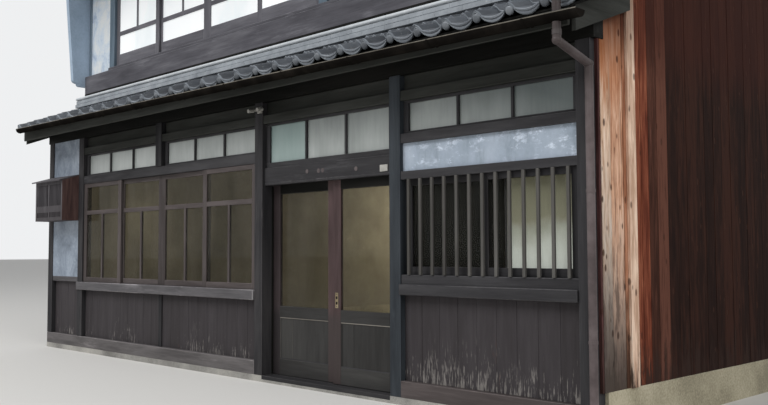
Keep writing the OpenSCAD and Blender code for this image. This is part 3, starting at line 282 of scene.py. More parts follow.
def facade_plaster():
    """Blue-grey plaster: cloudy and nearly white upstairs, smoother below, ochre with a faint painted glow on
    the inside.
    """
    bay_x, upper_z, front_y, skin_y, room_y, upper_skin_y = 2.3, 3.45, -4.35, -5.035, -4.595, 4.545
    look = Look("plaster", 0.9, Specular_IOR_Level=0.2)
    across, depth, height = look.axis("X"), look.axis("Y"), look.axis("Z")
    fine = look.noise(34, 4, 0.6)
    tone = 0.8 * look.noise(3.6, 6, 0.62, 0.5, squeeze=0.8) + 0.2 * fine
    low = tone.ramp((0.36, 0x767F8A), (0.5, 0x909AA7), (0.66, 0xAAB3BF))
    high = tone.ramp((0.38, 0xB4CAE8), (0.48, 0xDEEEFF), (0.6, 0xF4FAFF))
    band = tone.ramp((0.3, 0x98A4B1), (0.5, 0xA8B4C2), (0.7, 0xB8C3D0))
    rear = tone.ramp((0.36, 0x96A3B2), (0.5, 0xB0BCCB), (0.66, 0xC6D0DC))
    ochre = tone.ramp((0.35, 0x766E5C), (0.6, 0x908874))
    front = depth.span(front_y - 0.05, front_y + 0.05, 1, 0)
    colour = low.mix((across.span(bay_x - 0.1, bay_x + 0.1) * front).held(), band)
    colour = colour.mix(height.span(upper_z - 0.05, upper_z + 0.05), rear.mix(front, high))
    # Chalky patches, mostly on the lattice bay and the front
    chalk = look.noise(12, 9, 0.8, 0.2, squeeze=(0.6, 1, 1.2))
    where = look.noise(2.3, 3, 0.5, squeeze=0.9).span(0.42, 0.52, 0, 0.8)
    patch = (chalk.span(0.53, 0.6) * where).held()
    patch = (patch * across.span(bay_x - 0.3, bay_x + 0.1, 0.12, 1)).held() * depth.span(0, 1, 1, 0.1)
    colour = colour.mix(patch, 0xE2ECFA)
    stain = 0.3 * look.noise(9, 4, 0.7, squeeze=0.25).span(0.55, 0.7)
    colour = colour.mix(stain, 0x626C76)

    def between(y0, y1, blur=0.005):
        return depth.span(y0 - blur, y0 + blur) * depth.span(y1 - blur, y1 + blur, 1, 0)

    inside = between(skin_y, room_y).larger(between(-upper_skin_y, upper_skin_y)).held()
    # Painted glow: the inner faces give off a faint ochre light of their own
    look.set(Emission_Color=ochre, Emission_Strength=0.06 * inside)
    return look.finish(colour.mix(inside, ochre), None, fine + 0.6 * chalk, 0.25)


plaster = facade_plaster()
wing_plaster = plaster_look("wing_plaster", 0x92A4B6, 0xA6B8CB, 0xB6C8DA, 0xC0D0E0, -0.05)
# Inside of the side walls, with a faint painted glow
ochre_plaster = plaster_look("ochre_plaster", 0x7A725F, 0x8C8470, 0x9E9682, 0xA49C88, -0.02, glow=0.06)


def tile_look(name, dark, mid, pale, spots, vary=0.4):
    """Fired clay with lichen; vary is how much one tile differs from the next."""
    look = Look(name, 0.5)
    cloud = look.noise(5, 4, 0.6)
    each = look.field("NewGeometry", output="Random Per Island")
    colour = ((1 - vary) * cloud + vary * each).ramp((0.25, dark), (0.5, mid), (0.8, pale))
    lichen, rough = look.noise(26, 5, 0.7).span(0.6, 0.68, 0, 0.55), cloud.span(0.3, 0.7, 0.65, 0.4)
    return look.finish(colour.mix(lichen, spots), rough, look.noise(90, 3, 0.6), 0.25, 0.002)


roof_tile = tile_look("roof_tile", 0x34373C, 0x44484E, 0x5C6066, 0x7C8082)
tile_rim = tile_look("tile_rim", 0x60656C, 0x767C83, 0x8E949B, 0xA8ACB0)
tile_knob = tile_look("tile_knob", 0x54585E, 0x666B71, 0x7C8187, 0x969A9E)
noshi_tile = tile_look("noshi_tile", 0x767C82, 0x91979D, 0xAAB0B5, 0xB8BCBE, 0.08)
noshi_lip = tile_look("noshi_lip", 0xB0B6BB, 0xC6CBCF, 0xDADEE1, 0xE2E5E6, 0.08)


def stone_look(name, dark, mid, pale, grain):
    look = Look(name, 0.85)
    speck = look.noise(grain, 2, 0.6)
    colour = (0.6 * look.noise(2.2, 4, 0.6) + 0.4 * speck).ramp((0.38, dark), (0.5, mid), (0.62, pale))
    return look.finish(colour, None, speck, 0.3, 0.003)


granite = stone_look("granite", 0x706E6A, 0x92908B, 0xB2AFA8, 160)
concrete = stone_look("concrete", 0x8C8570, 0xA8A088, 0xBEB69E, 60)


def metal_look(name, dark, mid, pale, rough=0.4, metallic=0.0, gloss=0.2, eave_shade=None):
    """Paint or metal; the last argument is two heights and the colour above them, a painted shade towards the
    top.
    """
    look = Look(name, rough, Metallic=metallic, Specular_IOR_Level=gloss)
    fine = look.noise(120, 2, 0.5)
    colour = look.noise(4, 4, 0.6).ramp((0.35, dark), (0.5, mid), (0.65, pale))
    if eave_shade:
        colour = colour.mix(look.axis("Z").span(eave_shade[0], eave_shade[1], 0, 0.7), eave_shade[2])
    return look.finish(colour, fine.span(0.3, 0.7, rough - 0.08, rough + 0.12), fine, 0.12, 0.001)


# Darker above two metres: painted shade under the pent roof's eave
PIPE_EAVE_SHADE = (2.0, 2.65, 0x342E2D)
# Near-black gutters: dark paint, with painted shade on their faces under the tiles
gutter_paint_and_shade = metal_look("gutter_paint_and_shade", 0x141211, 0x1A1816, 0x24211E, 0.7, gloss=0.0)
# Pale rim colour: a painted highlight on the gutters' rolled edges
gutter_rim_highlight = metal_look("gutter_rim_highlight", 0x545048, 0x6A655C, 0x827D72)
pipe_paint = metal_look("pipe_paint", 0x504747, 0x615757, 0x726868, 0.42, eave_shade=PIPE_EAVE_SHADE)
pipe_collar = metal_look("pipe_collar", 0x605A5A, 0x726C6C, 0x847E7D, eave_shade=PIPE_EAVE_SHADE)
lamp_paint = metal_look("lamp_paint", 0x8C8A84, 0xAAA8A2, 0xC4C2BC)
dark_iron = metal_look("dark_iron", 0x282624, 0x3A3734, 0x544E46, metallic=0.7)
brass = metal_look("aged_brass", 0x786C54, 0x9A8C70, 0xB8AC90, 0.35, 0.6)


def glass_look(name, tint, haze, dust_colour, streaks, mirror=0.16):
    """A pane that lets light through, with a mirror's share by angle and some haze of dust."""
    look = Look(name)
    cloud = look.noise(2.4, 4, 0.6, squeeze=0.22)
    dusty = cloud.span(0.3, 0.7, haze * (1 - streaks), min(1, haze * (1 + streaks)))
    dust = look.node("BsdfDiffuse", Color=cloud.ramp((0.3, linear(dust_colour, 0.8)), (0.7, dust_colour)))
    film = look.node("MixShader", dusty, look.node("BsdfTransparent", Color=tint), dust)
    gloss = look.node("BsdfGlossy", Color=(mirror, mirror, mirror, 1), Roughness=0.0)
    slant = look.field("LayerWeight", output="Facing", Blend=0.5) ** 5.0
    pane = look.node("MixShader", slant.span(0, 1, 0.04, 1.0), film, gloss)
    look.feed(look.tree.nodes["Material Output"].inputs["Surface"], pane)
    look.tree.nodes.remove(look.shader)
    return look.material


def bright_pane():
    """Ground glass of the upper windows, with a faint painted glow standing in for light from behind."""
    look = Look("upper_pane", 0.25)
    cloud = look.noise(1.6, 4, 0.55, squeeze=0.5)
    return look.finish(cloud.ramp((0.3, 0xE8EEF0), (0.5, 0xF6F9FA), (0.7, 0xFDFEFE)), glow=0.2)


def transom_look():
    """Ground glass, greenish at its left, and darker to the right and towards its top in painted shade."""
    look = Look("transom_pane", 0.35)
    across, height = look.axis("X"), look.axis("Z")
    drip = look.noise(26, 3, 0.6, squeeze=0.12)
    tone = 0.7 * look.noise(3.2, 3, 0.5, squeeze=0.6) + 0.3 * drip
    pale = tone.ramp((0.3, 0xA2A7A4), (0.5, 0xB5BAB7), (0.7, 0xC6CAC7))
    deep = tone.ramp((0.3, 0x505958), (0.7, 0x626B6A))
    # Painted shade: darker to the right and towards the top
    share = across.span(-1.5, 1.5, 0, 0.3) + across.span(2.6, 4.0, -0.1, 0.6)
    share = (share + height.span(2.15, 2.42, 0, 0.35)).held()
    teal = across.span(0.4, 0.45) * across.span(1.06, 1.08, 0.45, 0)
    colour = pale.mix(share, deep).mix(teal.held(), 0x789E9A)
    return look.finish(colour, None, drip, 0.1, 0.001)


clear_glass = glass_look("clear_glass", (0.93, 0.95, 0.93, 1), 0.09, 0x7A7266, 0.9)
lattice_pane = glass_look("lattice_pane", (0.96, 0.97, 0.95, 1), 0.02, 0x6E685C, 0.9, 0.08)
transom_pane = transom_look()
upper_pane = bright_pane()
rear_pane = glass_look("rear_pane", (0.7, 0.74, 0.73, 1), 0.8, 0xAAB0AE, 0.06)

# Looks for the nodes that keep their CAD mesh

X, Y, Z, EDGE = range(4)
NODE_LOOKS = {node: look for look, nodes in (
    (granite, "plinths"),
    (concrete, "side_footings ground_floor"),
    (plaster, "plaster_panels"),
    (wing_plaster, "wing_wall"),
    (ochre_plaster, "side_walls"),
    (clear_glass, "window_glass door_left_glass door_right_glass"),
    (lattice_pane, "lattice_glass"),
    (transom_pane, "transom_glass"),
    (upper_pane, "upper_glass"),
    (rear_pane, "rear_glass"),
    (cover_wood, "cover_box"),
    (lid_wood, "cover_box_lid"),
    (lamp_paint, "wall_light"),
    (gutter_paint_and_shade, "pent_gutter main_gutters"),
    (pipe_paint, "pent_downpipe main_downpipe"),
    (CHARCOAL[X], "main_boards"),
    # The wood under the eaves is near black: partly its own dark colour, partly painted shade
    (SMOKED_AND_SHADE[X], "eave_beam pent_deck main_purlins main_deck carrying_beam"),
    (SMOKED_AND_SHADE[Y], "pent_rafters main_rafters floor_beams"),
) for node in nodes.split()}
for node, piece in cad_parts.items():
    piece.data.materials.clear()
    piece.data.materials.append(NODE_LOOKS.get(node, CHARCOAL[Z]))

# Mesh building


def block_faces():
    """Faces of a chamfered box. Each of its corners has three points, one on every side that meets there.

    They are two sides and four chamfers for each axis, and then the eight corners."""
    ring = ((0, 0), (1, 0), (1, 1), (0, 1))

    def point(a, end, u, v, side):
        """The point on a side, at the corner with that end of axis a and of the two axes after it."""
        corner = {a: end, (a + 1) % 3: u, (a + 2) % 3: v}
        return 12 * corner[0] + 6 * corner[1] + 3 * corner[2] + side % 3

    faces, outward = [], []
    for a in range(3):
        faces += [[point(a, end, u, v, a) for u, v in ring] for end in (0, 1)]
        around = ((0, 1), (1, 1), (1, 2), (0, 2))
        faces += [[point(a, end, u, v, a + k) for end, k in around] for u, v in ring]
        outward += [False, True] + [u == v for u, v in ring]
    faces += [[3 * c, 3 * c + 1, 3 * c + 2] for c in range(8)]
    outward += [c in (1, 2, 4, 7) for c in range(8)]
    return [face if right else face[::-1] for face, right in zip(faces, outward)]


BLOCK_FACES = block_faces()


class Heap:
    """Collects vertices and faces of many small solids and joins them in one object."""

    def __init__(self):
        self.points, self.faces, self.marks, self.count = [], [], [], 0

    def add(self, points, faces, mark=0):
        points = np.asarray(points, float)
        self.points.append(points)
        self.faces += [tuple(i + self.count for i in f) for f in faces]
        self.marks += mark if isinstance(mark, list) else [mark] * len(faces)
        self.count += len(points)

    def block(self, low, high, edge=0.0, mark=0, rubbed=None):
        """A board with narrow chamfers; rubbed is the material of the chamfers."""
        low, high = np.minimum(low, high), np.maximum(low, high)
        edge = min(edge, 0.4 * min(high - low))
        points = []
        for c in np.ndindex(2, 2, 2):
            corner, inner = np.where(c, high, low), np.where(c, high - edge, low + edge)
            points += [np.where(np.arange(3) == a, corner, inner) for a in range(3)]
        worn = mark if rubbed is None else rubbed
        self.add(points, BLOCK_FACES, ([mark] * 2 + [worn] * 4) * 3 + [worn] * 8)

    def timber(self, low, high, edge, along, start=0):
        """A block in one of the palettes, which begins at material number start."""
        self.block(low, high, edge, start + along, start + EDGE)

    def loft(self, rings, mark=0):
        """A closed solid through rings of as many points each."""
        n = len(rings[0])
        last = n * (len(rings) - 1)
        pairs = [(i, (i + 1) % n) for i in range(n)]
        faces = [[r + i, r + j, r + j + n, r + i + n] for r in range(0, last, n) for i, j in pairs]
        faces += [range(n)[::-1], range(last, last + n)]
        self.add([point for ring in rings for point in ring], faces, mark)

    def prism(self, outline, axis, start, end, mark=0):
        """An outline in the plane across an axis, drawn along it."""
        order = {"X": (2, 0, 1), "Y": (0, 2, 1), "Z": (0, 1, 2)}[axis]
        self.loft([[[(u, v, w)[k] for k in order] for u, v in outline] for w in (start, end)], mark)

    def make(self, name, materials, slot="dark_wood", body="house", replaces=(), smooth=None):
        mesh = bpy.data.meshes.new(name)
        mesh.from_pydata(np.concatenate(self.points).tolist(), [], self.faces)
        for material in materials:
            mesh.materials.append(material)
        mesh.polygons.foreach_set("material_index", self.marks)
        mesh.update()
        piece = add_object(name, mesh)
        if smooth:
            mesh.shade_smooth()
            mesh.set_sharp_from_angle(angle=math.radians(smooth))
        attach(piece, body)
        if replaces:
            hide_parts(*replaces)


def arc(u, v, radius, steps, turn=math.tau):
    """Points round a centre; a whole turn ends one step before its start."""
    points = [(u + radius * math.cos(t), v + radius * math.sin(t)) for t in np.linspace(0, turn, steps + 1)]
    return points[:-1] if abs(turn) == math.tau else points


def solids(node):
    """The separate solids of a CAD node, from left to right, each as its triangles' corners."""
    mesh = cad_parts[node].data
    groups = []
    for polygon in mesh.polygons:
        corners = [tuple(mesh.vertices[i].co) for i in polygon.vertices]
        keys = {tuple(np.round(c, 5)) for c in corners}
        triangles = [(corners[0], u, v) for u, v in zip(corners[1:], corners[2:])]
        for group in [g for g in groups if g[0] & keys]:
            groups.remove(group)
            keys |= group[0]
            triangles += group[1]
        groups.append((keys, triangles))
    return sorted((np.array(g[1]) for g in groups), key=lambda s: tuple(np.round(s.min((0, 1)), 3)))


def boxes(node):
    return [(s.min((0, 1)), s.max((0, 1))) for s in solids(node)]


def grow(full, cell, first):
    """A filled box round a cell, grown along the first axis and then along the two after it."""
    low, high = list(cell), [c + 1 for c in cell]

    def filled(a, at):
        layer = tuple(slice(at, at + 1) if k == a else slice(low[k], high[k]) for k in range(3))
        return 0 <= at < full.shape[a] and full[layer].all()

    for a in (first, (first + 1) % 3, (first + 2) % 3):
        while filled(a, low[a] - 1):
            low[a] -= 1
        while filled(a, high[a]):
            high[a] += 1
    return low, high


def members(node, first=Z):
    """The straight timbers that a square-cut node is joined from, as (low, high) pairs.

    Those that run along the first axis go through, and the rest stand between them."""
    found = []
    for solid in solids(node):
        faces = np.arange(3 * len(solid)).reshape(-1, 3)
        surface = BVHTree.FromPolygons(solid.reshape(-1, 3).tolist(), faces.tolist())
        lines = [np.unique(np.round(solid[:, :, a], 5)) for a in range(3)]
        middles = [(line[:-1] + line[1:]) / 2 for line in lines]

        def inside(point):
            near, normal, *rest = surface.find_nearest(point)
            return (Vector(point) - near).dot(normal) < 0

        def ends(box):
            return tuple(np.array([line[i] for line, i in zip(lines, end)]) for end in box)

        def worth(box):
            low, high = ends(box)
            return round((high - low)[first], 4), round(float(np.prod(high - low)), 9)

        full = np.array([[[inside((x, y, z)) for z in middles[2]] for y in middles[1]] for x in middles[0]])
        while full.any():
            best = max((grow(full, cell, a) for cell in zip(*np.nonzero(full)) for a in range(3)), key=worth)
            full[tuple(slice(u, v) for u, v in zip(*best))] = False
            found.append(ends(best))
    return found


# Timbers


def joinery(node, looks, edge=0.003, first=Z, slot="dark_wood", tint=None):
    """Replaces a square-cut node by its timbers with rubbed chamfers; tint(low, high) picks other looks."""
    heap, materials = Heap(), list(looks)
    for low, high in members(node, first):
        chosen = tint(low, high) if tint else looks
        if chosen[0] not in materials:
            materials.extend(chosen)
        heap.timber(low, high, edge, int(np.argmax(high - low)), materials.index(chosen[0]))
    heap.make(node + "_timbers", materials, slot, replaces=[node])


# Places along x that lie between the door and the lattice bay, and past the bay's first post
BAY_X, CORNER_X = 2, 3


def base_tint(low, high):
    if high[1] > 0:
        return CHARCOAL
    return SASH if low[0] > BAY_X else BASE


def post_tint(low, high):
    if low[0] > CORNER_X:
        return RAIL
    return BLUISH if low[0] > BAY_X else CHARCOAL


def rail_tint(low, high):
    if low[1] > 0:
        return CHARCOAL
    return FRIEZE if low[2] > 2.4 else RAIL


joinery("base_beams", CHARCOAL, 0.004, X, tint=base_tint)
joinery("threshold", CHARCOAL, first=X)
joinery("front_posts", CHARCOAL, 0.004, tint=post_tint)
joinery("rear_posts", CHARCOAL, 0.004)
joinery("front_sills", WASHED, 0.006, X, tint=lambda low, high: RAIL if low[0] > BAY_X + 0.2 else WASHED)
joinery("front_rails", RAIL, first=X, tint=rail_tint)
joinery("door_lintel", RAIL, 0.004, X)
joinery("door_jambs", SMOKED_AND_SHADE)
joinery("transom_frames", RAIL, 0.002, X)
joinery("window_sashes", SASH)
joinery("lattice_sashes", CHARCOAL)
joinery("upper_posts", UPPER_POST, 0.004)
joinery("upper_head", CHARCOAL, 0.004, X)
joinery("upper_sill_beam", WEATHERED, 0.005, X, "grey_wood")
joinery("upper_sashes", UPPER_SASH, slot="grey_wood")

# A dark strip under the upper sill beam: painted shadow in the gap between the beam and the flashing
low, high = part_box("upper_sill_beam")
SHADOW_STRIP_SHORT, SHADOW_STRIP_OUT, SHADOW_STRIP_IN, SHADOW_STRIP_DOWN, SHADOW_STRIP_UP = 0.01, 0.006, 0.05, 0.024, 0.012
heap = Heap()
heap.block((low[0] + SHADOW_STRIP_SHORT, low[1] - SHADOW_STRIP_OUT, low[2] - SHADOW_STRIP_DOWN),
           (high[0] - SHADOW_STRIP_SHORT, low[1] + SHADOW_STRIP_IN, low[2] + SHADOW_STRIP_UP), 0.002)
heap.make("upper_beam_painted_shadow_strip", [SMOKED_AND_SHADE[X]])
joinery("rear_rails", CHARCOAL, 0.004, X)
joinery("rear_sashes", UPPER_SASH, slot="grey_wood")

# A bar in the middle of every lower light of the windows, on both faces of the glass
MUNTIN_W, MUNTIN_OUT, MUNTIN_IN, MUNTIN_GAP = 0.034, 0.009, 0.012, 0.0005
heap = Heap()
rails = [p for p in members("window_sashes", X) if p[1][0] - p[0][0] > 0.5 and 1.1 < p[0][2] < 1.9]
for low, high in boxes("window_glass"):
    middle = (low[0] + high[0]) / 2
    x0, x1 = middle - MUNTIN_W / 2, middle + MUNTIN_W / 2
    top = min(p[0][2] for p in rails if p[0][0] < middle < p[1][0])
    for y0, y1 in ((low[1] - MUNTIN_OUT, low[1] - MUNTIN_GAP), (high[1] + MUNTIN_GAP, high[1] + MUNTIN_IN)):
        heap.timber((x0, y0, low[2]), (x1, y1, top), 0.002, Z)
heap.make("window_muntins", SASH)

# Lattice bars, housed in the rail and the sill
LATTICE_BAR, LATTICE_DEPTH, LATTICE_SHIFT = 0.024, 0.022, 0.008
low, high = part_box("lattice")
bay_z0, bay_z1 = low[2], high[2]
heap = Heap()
for u, v in members("lattice"):
    if v[2] - u[2] > 0.7:
        x0, y0 = (u[0] + v[0] - LATTICE_BAR) / 2 + LATTICE_SHIFT, u[1]
        heap.timber((x0, y0, bay_z0), (x0 + LATTICE_BAR, y0 + LATTICE_DEPTH, bay_z1), 0.002, Z)
heap.make("lattice_bars", LATTICE, replaces=["lattice"])


def screen_look():
    """Paper on a screen, olive in painted shade at its top and pale below, with a faint painted glow."""
    look = Look("screen_paper", 0.9)
    fibre = look.noise(60, 4, 0.7, squeeze=0.3)
    height = look.axis("Z") + look.noise(3, 3, 0.5).span(0.3, 0.7, -0.05, 0.05)
    paper = height.span(1.06, 1.78).ramp((0.0, 0xE6E8E6), (0.3, 0xCED0CB), (0.55, 0x888574), (1.0, 0x6C6958))
    return look.finish(paper.mix(fibre.span(0.4, 0.7, 0, 0.12), 0x78705C), None, fibre, 0.1, 0.001, 0.24)


# Paper screen behind the lattice, with dark boards beside it
SCREEN_X0, SCREEN_X1, SCREEN_Y, SCREEN_T = 3.31, 3.99, -4.995, 0.018
SCREEN_STILE, SCREEN_RAIL, DARK_X0, DARK_BOARDS = 0.024, 0.03, 2.36, 6
heap = Heap()
inner_x0, inner_x1 = SCREEN_X0 + SCREEN_STILE, SCREEN_X1 - SCREEN_STILE
back_y = SCREEN_Y + SCREEN_T
for x0, x1 in ((SCREEN_X0, inner_x0), (inner_x1, SCREEN_X1)):
    heap.timber((x0, SCREEN_Y, bay_z0), (x1, back_y, bay_z1), 0.002, Z)
for z0, z1 in ((bay_z0, bay_z0 + SCREEN_RAIL), (bay_z1 - SCREEN_RAIL, bay_z1)):
    heap.timber((inner_x0, SCREEN_Y, z0), (inner_x1, back_y, z1), 0.002, X)
heap.block((inner_x0, SCREEN_Y + 0.002, bay_z0 + SCREEN_RAIL),
           (inner_x1, SCREEN_Y + 0.008, bay_z1 - SCREEN_RAIL), 0.001, EDGE + 1)
dark_step = (SCREEN_X0 - 0.01 - DARK_X0) / DARK_BOARDS
for i in range(DARK_BOARDS):
    x0 = DARK_X0 + i * dark_step
    heap.block((x0, SCREEN_Y + 0.006, bay_z0), (x0 + dark_step - 0.001, back_y, bay_z1), 0.002, EDGE + 2)
heap.make("inner_screen", CHARCOAL + [screen_look(), SMOKED_AND_SHADE[Z]])


PLANK_GAP = 0.0008


def planks(node, looks, slot, width, across):
    """Replaces flat solids by boards along x, side by side."""
    heap = Heap()
    for low, high in boxes(node):
        count = max(1, round((high[across] - low[across]) / width))
        step = (high[across] - low[across]) / count
        for i in range(count):
            u, v = low.copy(), high.copy()
            u[across] = low[across] + step * i + PLANK_GAP
            v[across] = low[across] + step * (i + 1) - PLANK_GAP
            heap.timber(u, v, 0.002, X)
    heap.make(node + "_planks", looks, slot, replaces=[node])


planks("frieze_boards", FRIEZE, "dark_wood", 0.13, Z)
planks("upper_floor", FLOORING, "floor_wood", 0.18, Y)

# Entrance doors

MOULDING, MOULDING_IN, PANEL_JOINT, JOINT_GAP = 0.008, 0.003, 0.26, 0.0015
# The near-black wood on the top rail is painted shade under the lintel, and the pale moulding wood a painted
# highlight
LEAF_LOOKS = DOOR + DOOR_RED + DOOR_SIDE + [moulding_highlight_wood, SMOKED_AND_SHADE[X], RAIL[X]]
RED_STILE, SIDE_STILE, TOP_MOULDING_HIGHLIGHT, TOP_RAIL_SHADE, FOOT_MOULDING = 4, 8, 12, 13, 14


def door_stiles(node):
    return sorted((p for p in members(node) if p[1][2] - p[0][2] > 1.5), key=lambda p: p[0][0])


def door_leaf(node, stile_looks):
    """A sliding door: through stiles, three rails and a sunk panel of two boards with a moulding round it."""
    heap = Heap()
    low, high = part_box(node)
    parts, stiles = members(node), door_stiles(node)
    for (u, v), start in zip(stiles, stile_looks):
        heap.timber(u, v, 0.002, Z, start)
    x0, x1 = stiles[0][1][0], stiles[1][0][0]
    rails = sorted({(round(u[2], 4), round(v[2], 4)) for u, v in parts if v[2] - u[2] < 0.3})
    for z0, z1 in rails:
        # The top rail is near-black wood: painted shade under the lintel
        heap.block((x0, low[1], z0), (x1, high[1], z1), 0.002, TOP_RAIL_SHADE if z0 > 1.5 else X, EDGE)
    sheet = next(p for p in parts if p[1][1] - p[0][1] < 0.5 * (high[1] - low[1]) and p[1][2] - p[0][2] > 0.5)
    y0, y1 = sheet[0][1], sheet[1][1]
    z0, z1 = rails[0][1], rails[1][0]
    joint = x0 + PANEL_JOINT * (x1 - x0)
    for a, b in ((x0, joint - JOINT_GAP), (joint + JOINT_GAP, x1)):
        heap.timber((a, y0, z0), (b, y1, z1), 0.002, Z)
    for front, back in ((low[1] + MOULDING_IN, y0), (y1, high[1] - MOULDING_IN)):
        # The top moulding is pale: a painted highlight; the foot moulding is rail wood
        for below, above, mark in ((z1 - MOULDING, z1, TOP_MOULDING_HIGHLIGHT), (z0, z0 + MOULDING, FOOT_MOULDING)):
            heap.block((x0, front, below), (x1, back, above), 0.002, mark)
        for a, b in ((x0, x0 + MOULDING), (x1 - MOULDING, x1)):
            heap.timber((a, front, z0 + MOULDING), (b, back, z1 - MOULDING), 0.002, Z)
    heap.make(node + "_leaf", LEAF_LOOKS, "door_wood", node, [node])


door_leaf("door_left", (SIDE_STILE, RED_STILE))
door_leaf("door_right", (RED_STILE, SIDE_STILE))

# Fittings of the entrance: lock plate, bare name plate and the lintel's plugs

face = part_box("door_right")[0][1]
stile = door_stiles("door_right")[0]
middle = (stile[0][0] + stile[1][0]) / 2
PLATE_W, PLATE_T, PLATE_Z0, PLATE_Z1 = 0.038, 0.0018, 0.728, 0.862
SCREW_R, SCREW_OUT, SCREW_IN = 0.004, 0.001, 0.014
PULL_W, PULL_H, PULL_OUT, PULL_LOWS = 0.022, 0.024, 0.0008, (0.806, 0.758)
heap = Heap()
heap.block((middle - PLATE_W / 2, face - PLATE_T, PLATE_Z0), (middle + PLATE_W / 2, face, PLATE_Z1), 0.0006)
for z in (PLATE_Z0 + SCREW_IN, PLATE_Z1 - SCREW_IN):
    heap.prism(arc(middle, z, SCREW_R, 12, -math.tau), "Y", face - PLATE_T - SCREW_OUT, face - PLATE_T, 1)
for z0 in PULL_LOWS:
    heap.block((middle - PULL_W / 2, face - PLATE_T - PULL_OUT, z0),
               (middle + PULL_W / 2, face - PLATE_T, z0 + PULL_H), 0.0004, 2)
heap.make("door_lock_plate", [brass, dark_iron, SMOKED_AND_SHADE[Z]], "gutter", "door_right")

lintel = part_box("door_lintel")[0][1]
NAME_PLATE = ((2.085, lintel - 0.006, 1.884), (2.176, lintel, 1.94))
heap = Heap()
heap.block(*NAME_PLATE, 0.0015)
heap.make("name_plate_blank", [lamp_paint], "lamp")

PLUGS = ((1.14, 1.95), (1.3, 1.945), (1.355, 1.945), (1.79, 1.93))
PLUG_STEPS = ((0.0, 0.002, 0.02), (0.002, 0.0032, 0.015))
heap = Heap()
for x, z in PLUGS:
    for back, front, radius in PLUG_STEPS:
        heap.prism(arc(x, z, radius, 12, -math.tau), "Y", lintel - front, lintel - back)
heap.make("lintel_plugs", [plug_wood])

# Roof tiles

PENT_SLOPE, MAIN_SLOPE = 0.38, 0.40
ROLL_SHARE = 0.3
PAN, ROLL, TILE = 0.020, 0.045, 0.018
ROLL_STEPS = [0, 0.025, 0.075, 0.15, 0.225, 0.275, 0.3]
STEPS = ROLL_STEPS + [0.37, 0.48, 0.6, 0.72, 0.84, 0.93, 1.0]
LIFT = TILE + 0.001
# Outline of an eave tile's lip: y, which is negative ahead, and the share of its drop
LIP = [(0.002, 0), (-0.008, 0), (-0.012, 0.08), (-0.012, 0.32), (-0.005, 0.4), (-0.005, 0.5), (-0.012, 0.58),
       (-0.014, 0.85), (-0.009, 1.0), (0.002, 1.0)]
LIP_DROP = 0.03
# Outline of the round end of an eave tile's roll: radius and y
KNOB = [(0.032, 0.0), (0.033, -0.004), (0.033, -0.014), (0.029, -0.019), (0.02, -0.0215), (0.01, -0.0225)]
KNOB_Z, KNOB_SIDES = 0.046, 16
# How far tiles reach under the next row, lie off the deck, and stray across, along and out of the slope
OVERLAP, DECK_GAP, SWAY, SLIP, RISE = 0.012, 0.0005, 0.0015, 0.003, 0.0015


def wave(s):
    """Height of a tile's underside across its width, for s from 0 to 1."""
    if s < ROLL_SHARE:
        return PAN + ROLL * math.sin(math.pi * s / ROLL_SHARE)
    return PAN * (1 - math.sin(math.pi * (s - ROLL_SHARE) / (1 - ROLL_SHARE)))


def lip_drop(s):
    """How far an eave tile's lip hangs, most in the middle of its pan."""
    return TILE + LIP_DROP * math.sin(math.pi * min(1, max(0, (s - ROLL_SHARE) / (1 - ROLL_SHARE)))) ** 0.5


def tile_shape(width, length, steps, eave=False):
    """One tile in its own place: x across, y up the slope, z out of it."""
    n = len(steps)
    points, faces, marks = [], [], []

    def strip(rows, mark, closed=False):
        """Adds rows of points with quads between them."""
        first, wide = len(points), len(rows[0])
        for row in rows:
            points.extend(row)
        for r in range(len(rows) - 1):
            for i in range(wide if closed else wide - 1):
                a, b = first + r * wide + i, first + r * wide + (i + 1) % wide
                faces.append([a, b, b + wide, a + wide])
                marks.append(mark)

    section = ((0.0, 0.0), (0.0, TILE - 0.004), (0.004, TILE), (length, TILE), (length, 0.0), (0.0, 0.0))
    strip([[(s * width, y, wave(s) + LIFT * (1 - y / length) + z) for s in steps] for y, z in section], 0)
    marks[:2 * (n - 1)] = [1] * (2 * (n - 1))
    for i, turn in ((0, 1), (n - 1, -1)):
        faces.append([r * n + i for r in range(5)][::turn])
        marks.append(0)
    if eave:
        top = LIFT + TILE
        strip([[(s * width, y, wave(s) + top - share * lip_drop(s)) for s in steps] for y, share in LIP], 1)
        centre = 0.5 * ROLL_SHARE * width
        rings = [[(x, y, z) for x, z in arc(centre, KNOB_Z, radius, KNOB_SIDES)] for radius, y in KNOB]
        strip(rings, 2, True)
        faces.append(list(range(len(points) - KNOB_SIDES, len(points))))
        marks.append(2)
    return np.array(points), faces, marks


def tiled_slope(name, node, x0, x1, columns, edge_y, edge_z, slope, length, rows, back=1):
    """Rows of tiles from an eave edge. back is 1 for the street slope and -1 for the rear one."""
    heap = Heap()
    width = (x1 - x0) / (columns + ROLL_SHARE)
    row = length / rows
    angle = math.atan(slope)
    up = np.array([0, back * math.cos(angle), math.sin(angle)])
    out = np.array([0, -back * math.sin(angle), math.cos(angle)])
    across = np.array([back, 0, 0])
    origin = np.array([x0 if back > 0 else x1, edge_y, edge_z])
    for r in range(rows):
        reach = row + (OVERLAP if r < rows - 1 else 0)
        plain, closing = (tile_shape(width, reach, steps, r == 0) for steps in (STEPS, ROLL_STEPS))
        for c in range(columns + 1):
            points, faces, marks = closing if c == columns else plain
            sway = 0 if c in (0, columns) else rng.uniform(-SWAY, SWAY)
            local = points + np.array([sway, rng.uniform(-SLIP, SLIP), rng.uniform(0, RISE)])
            base = origin + across * c * width + up * r * row + out * DECK_GAP
            heap.add(base + local @ np.array([across, up, out]), faces, list(marks))
    heap.make(name, [roof_tile, tile_rim, tile_knob], "roof_tile", replaces=[node], smooth=40)


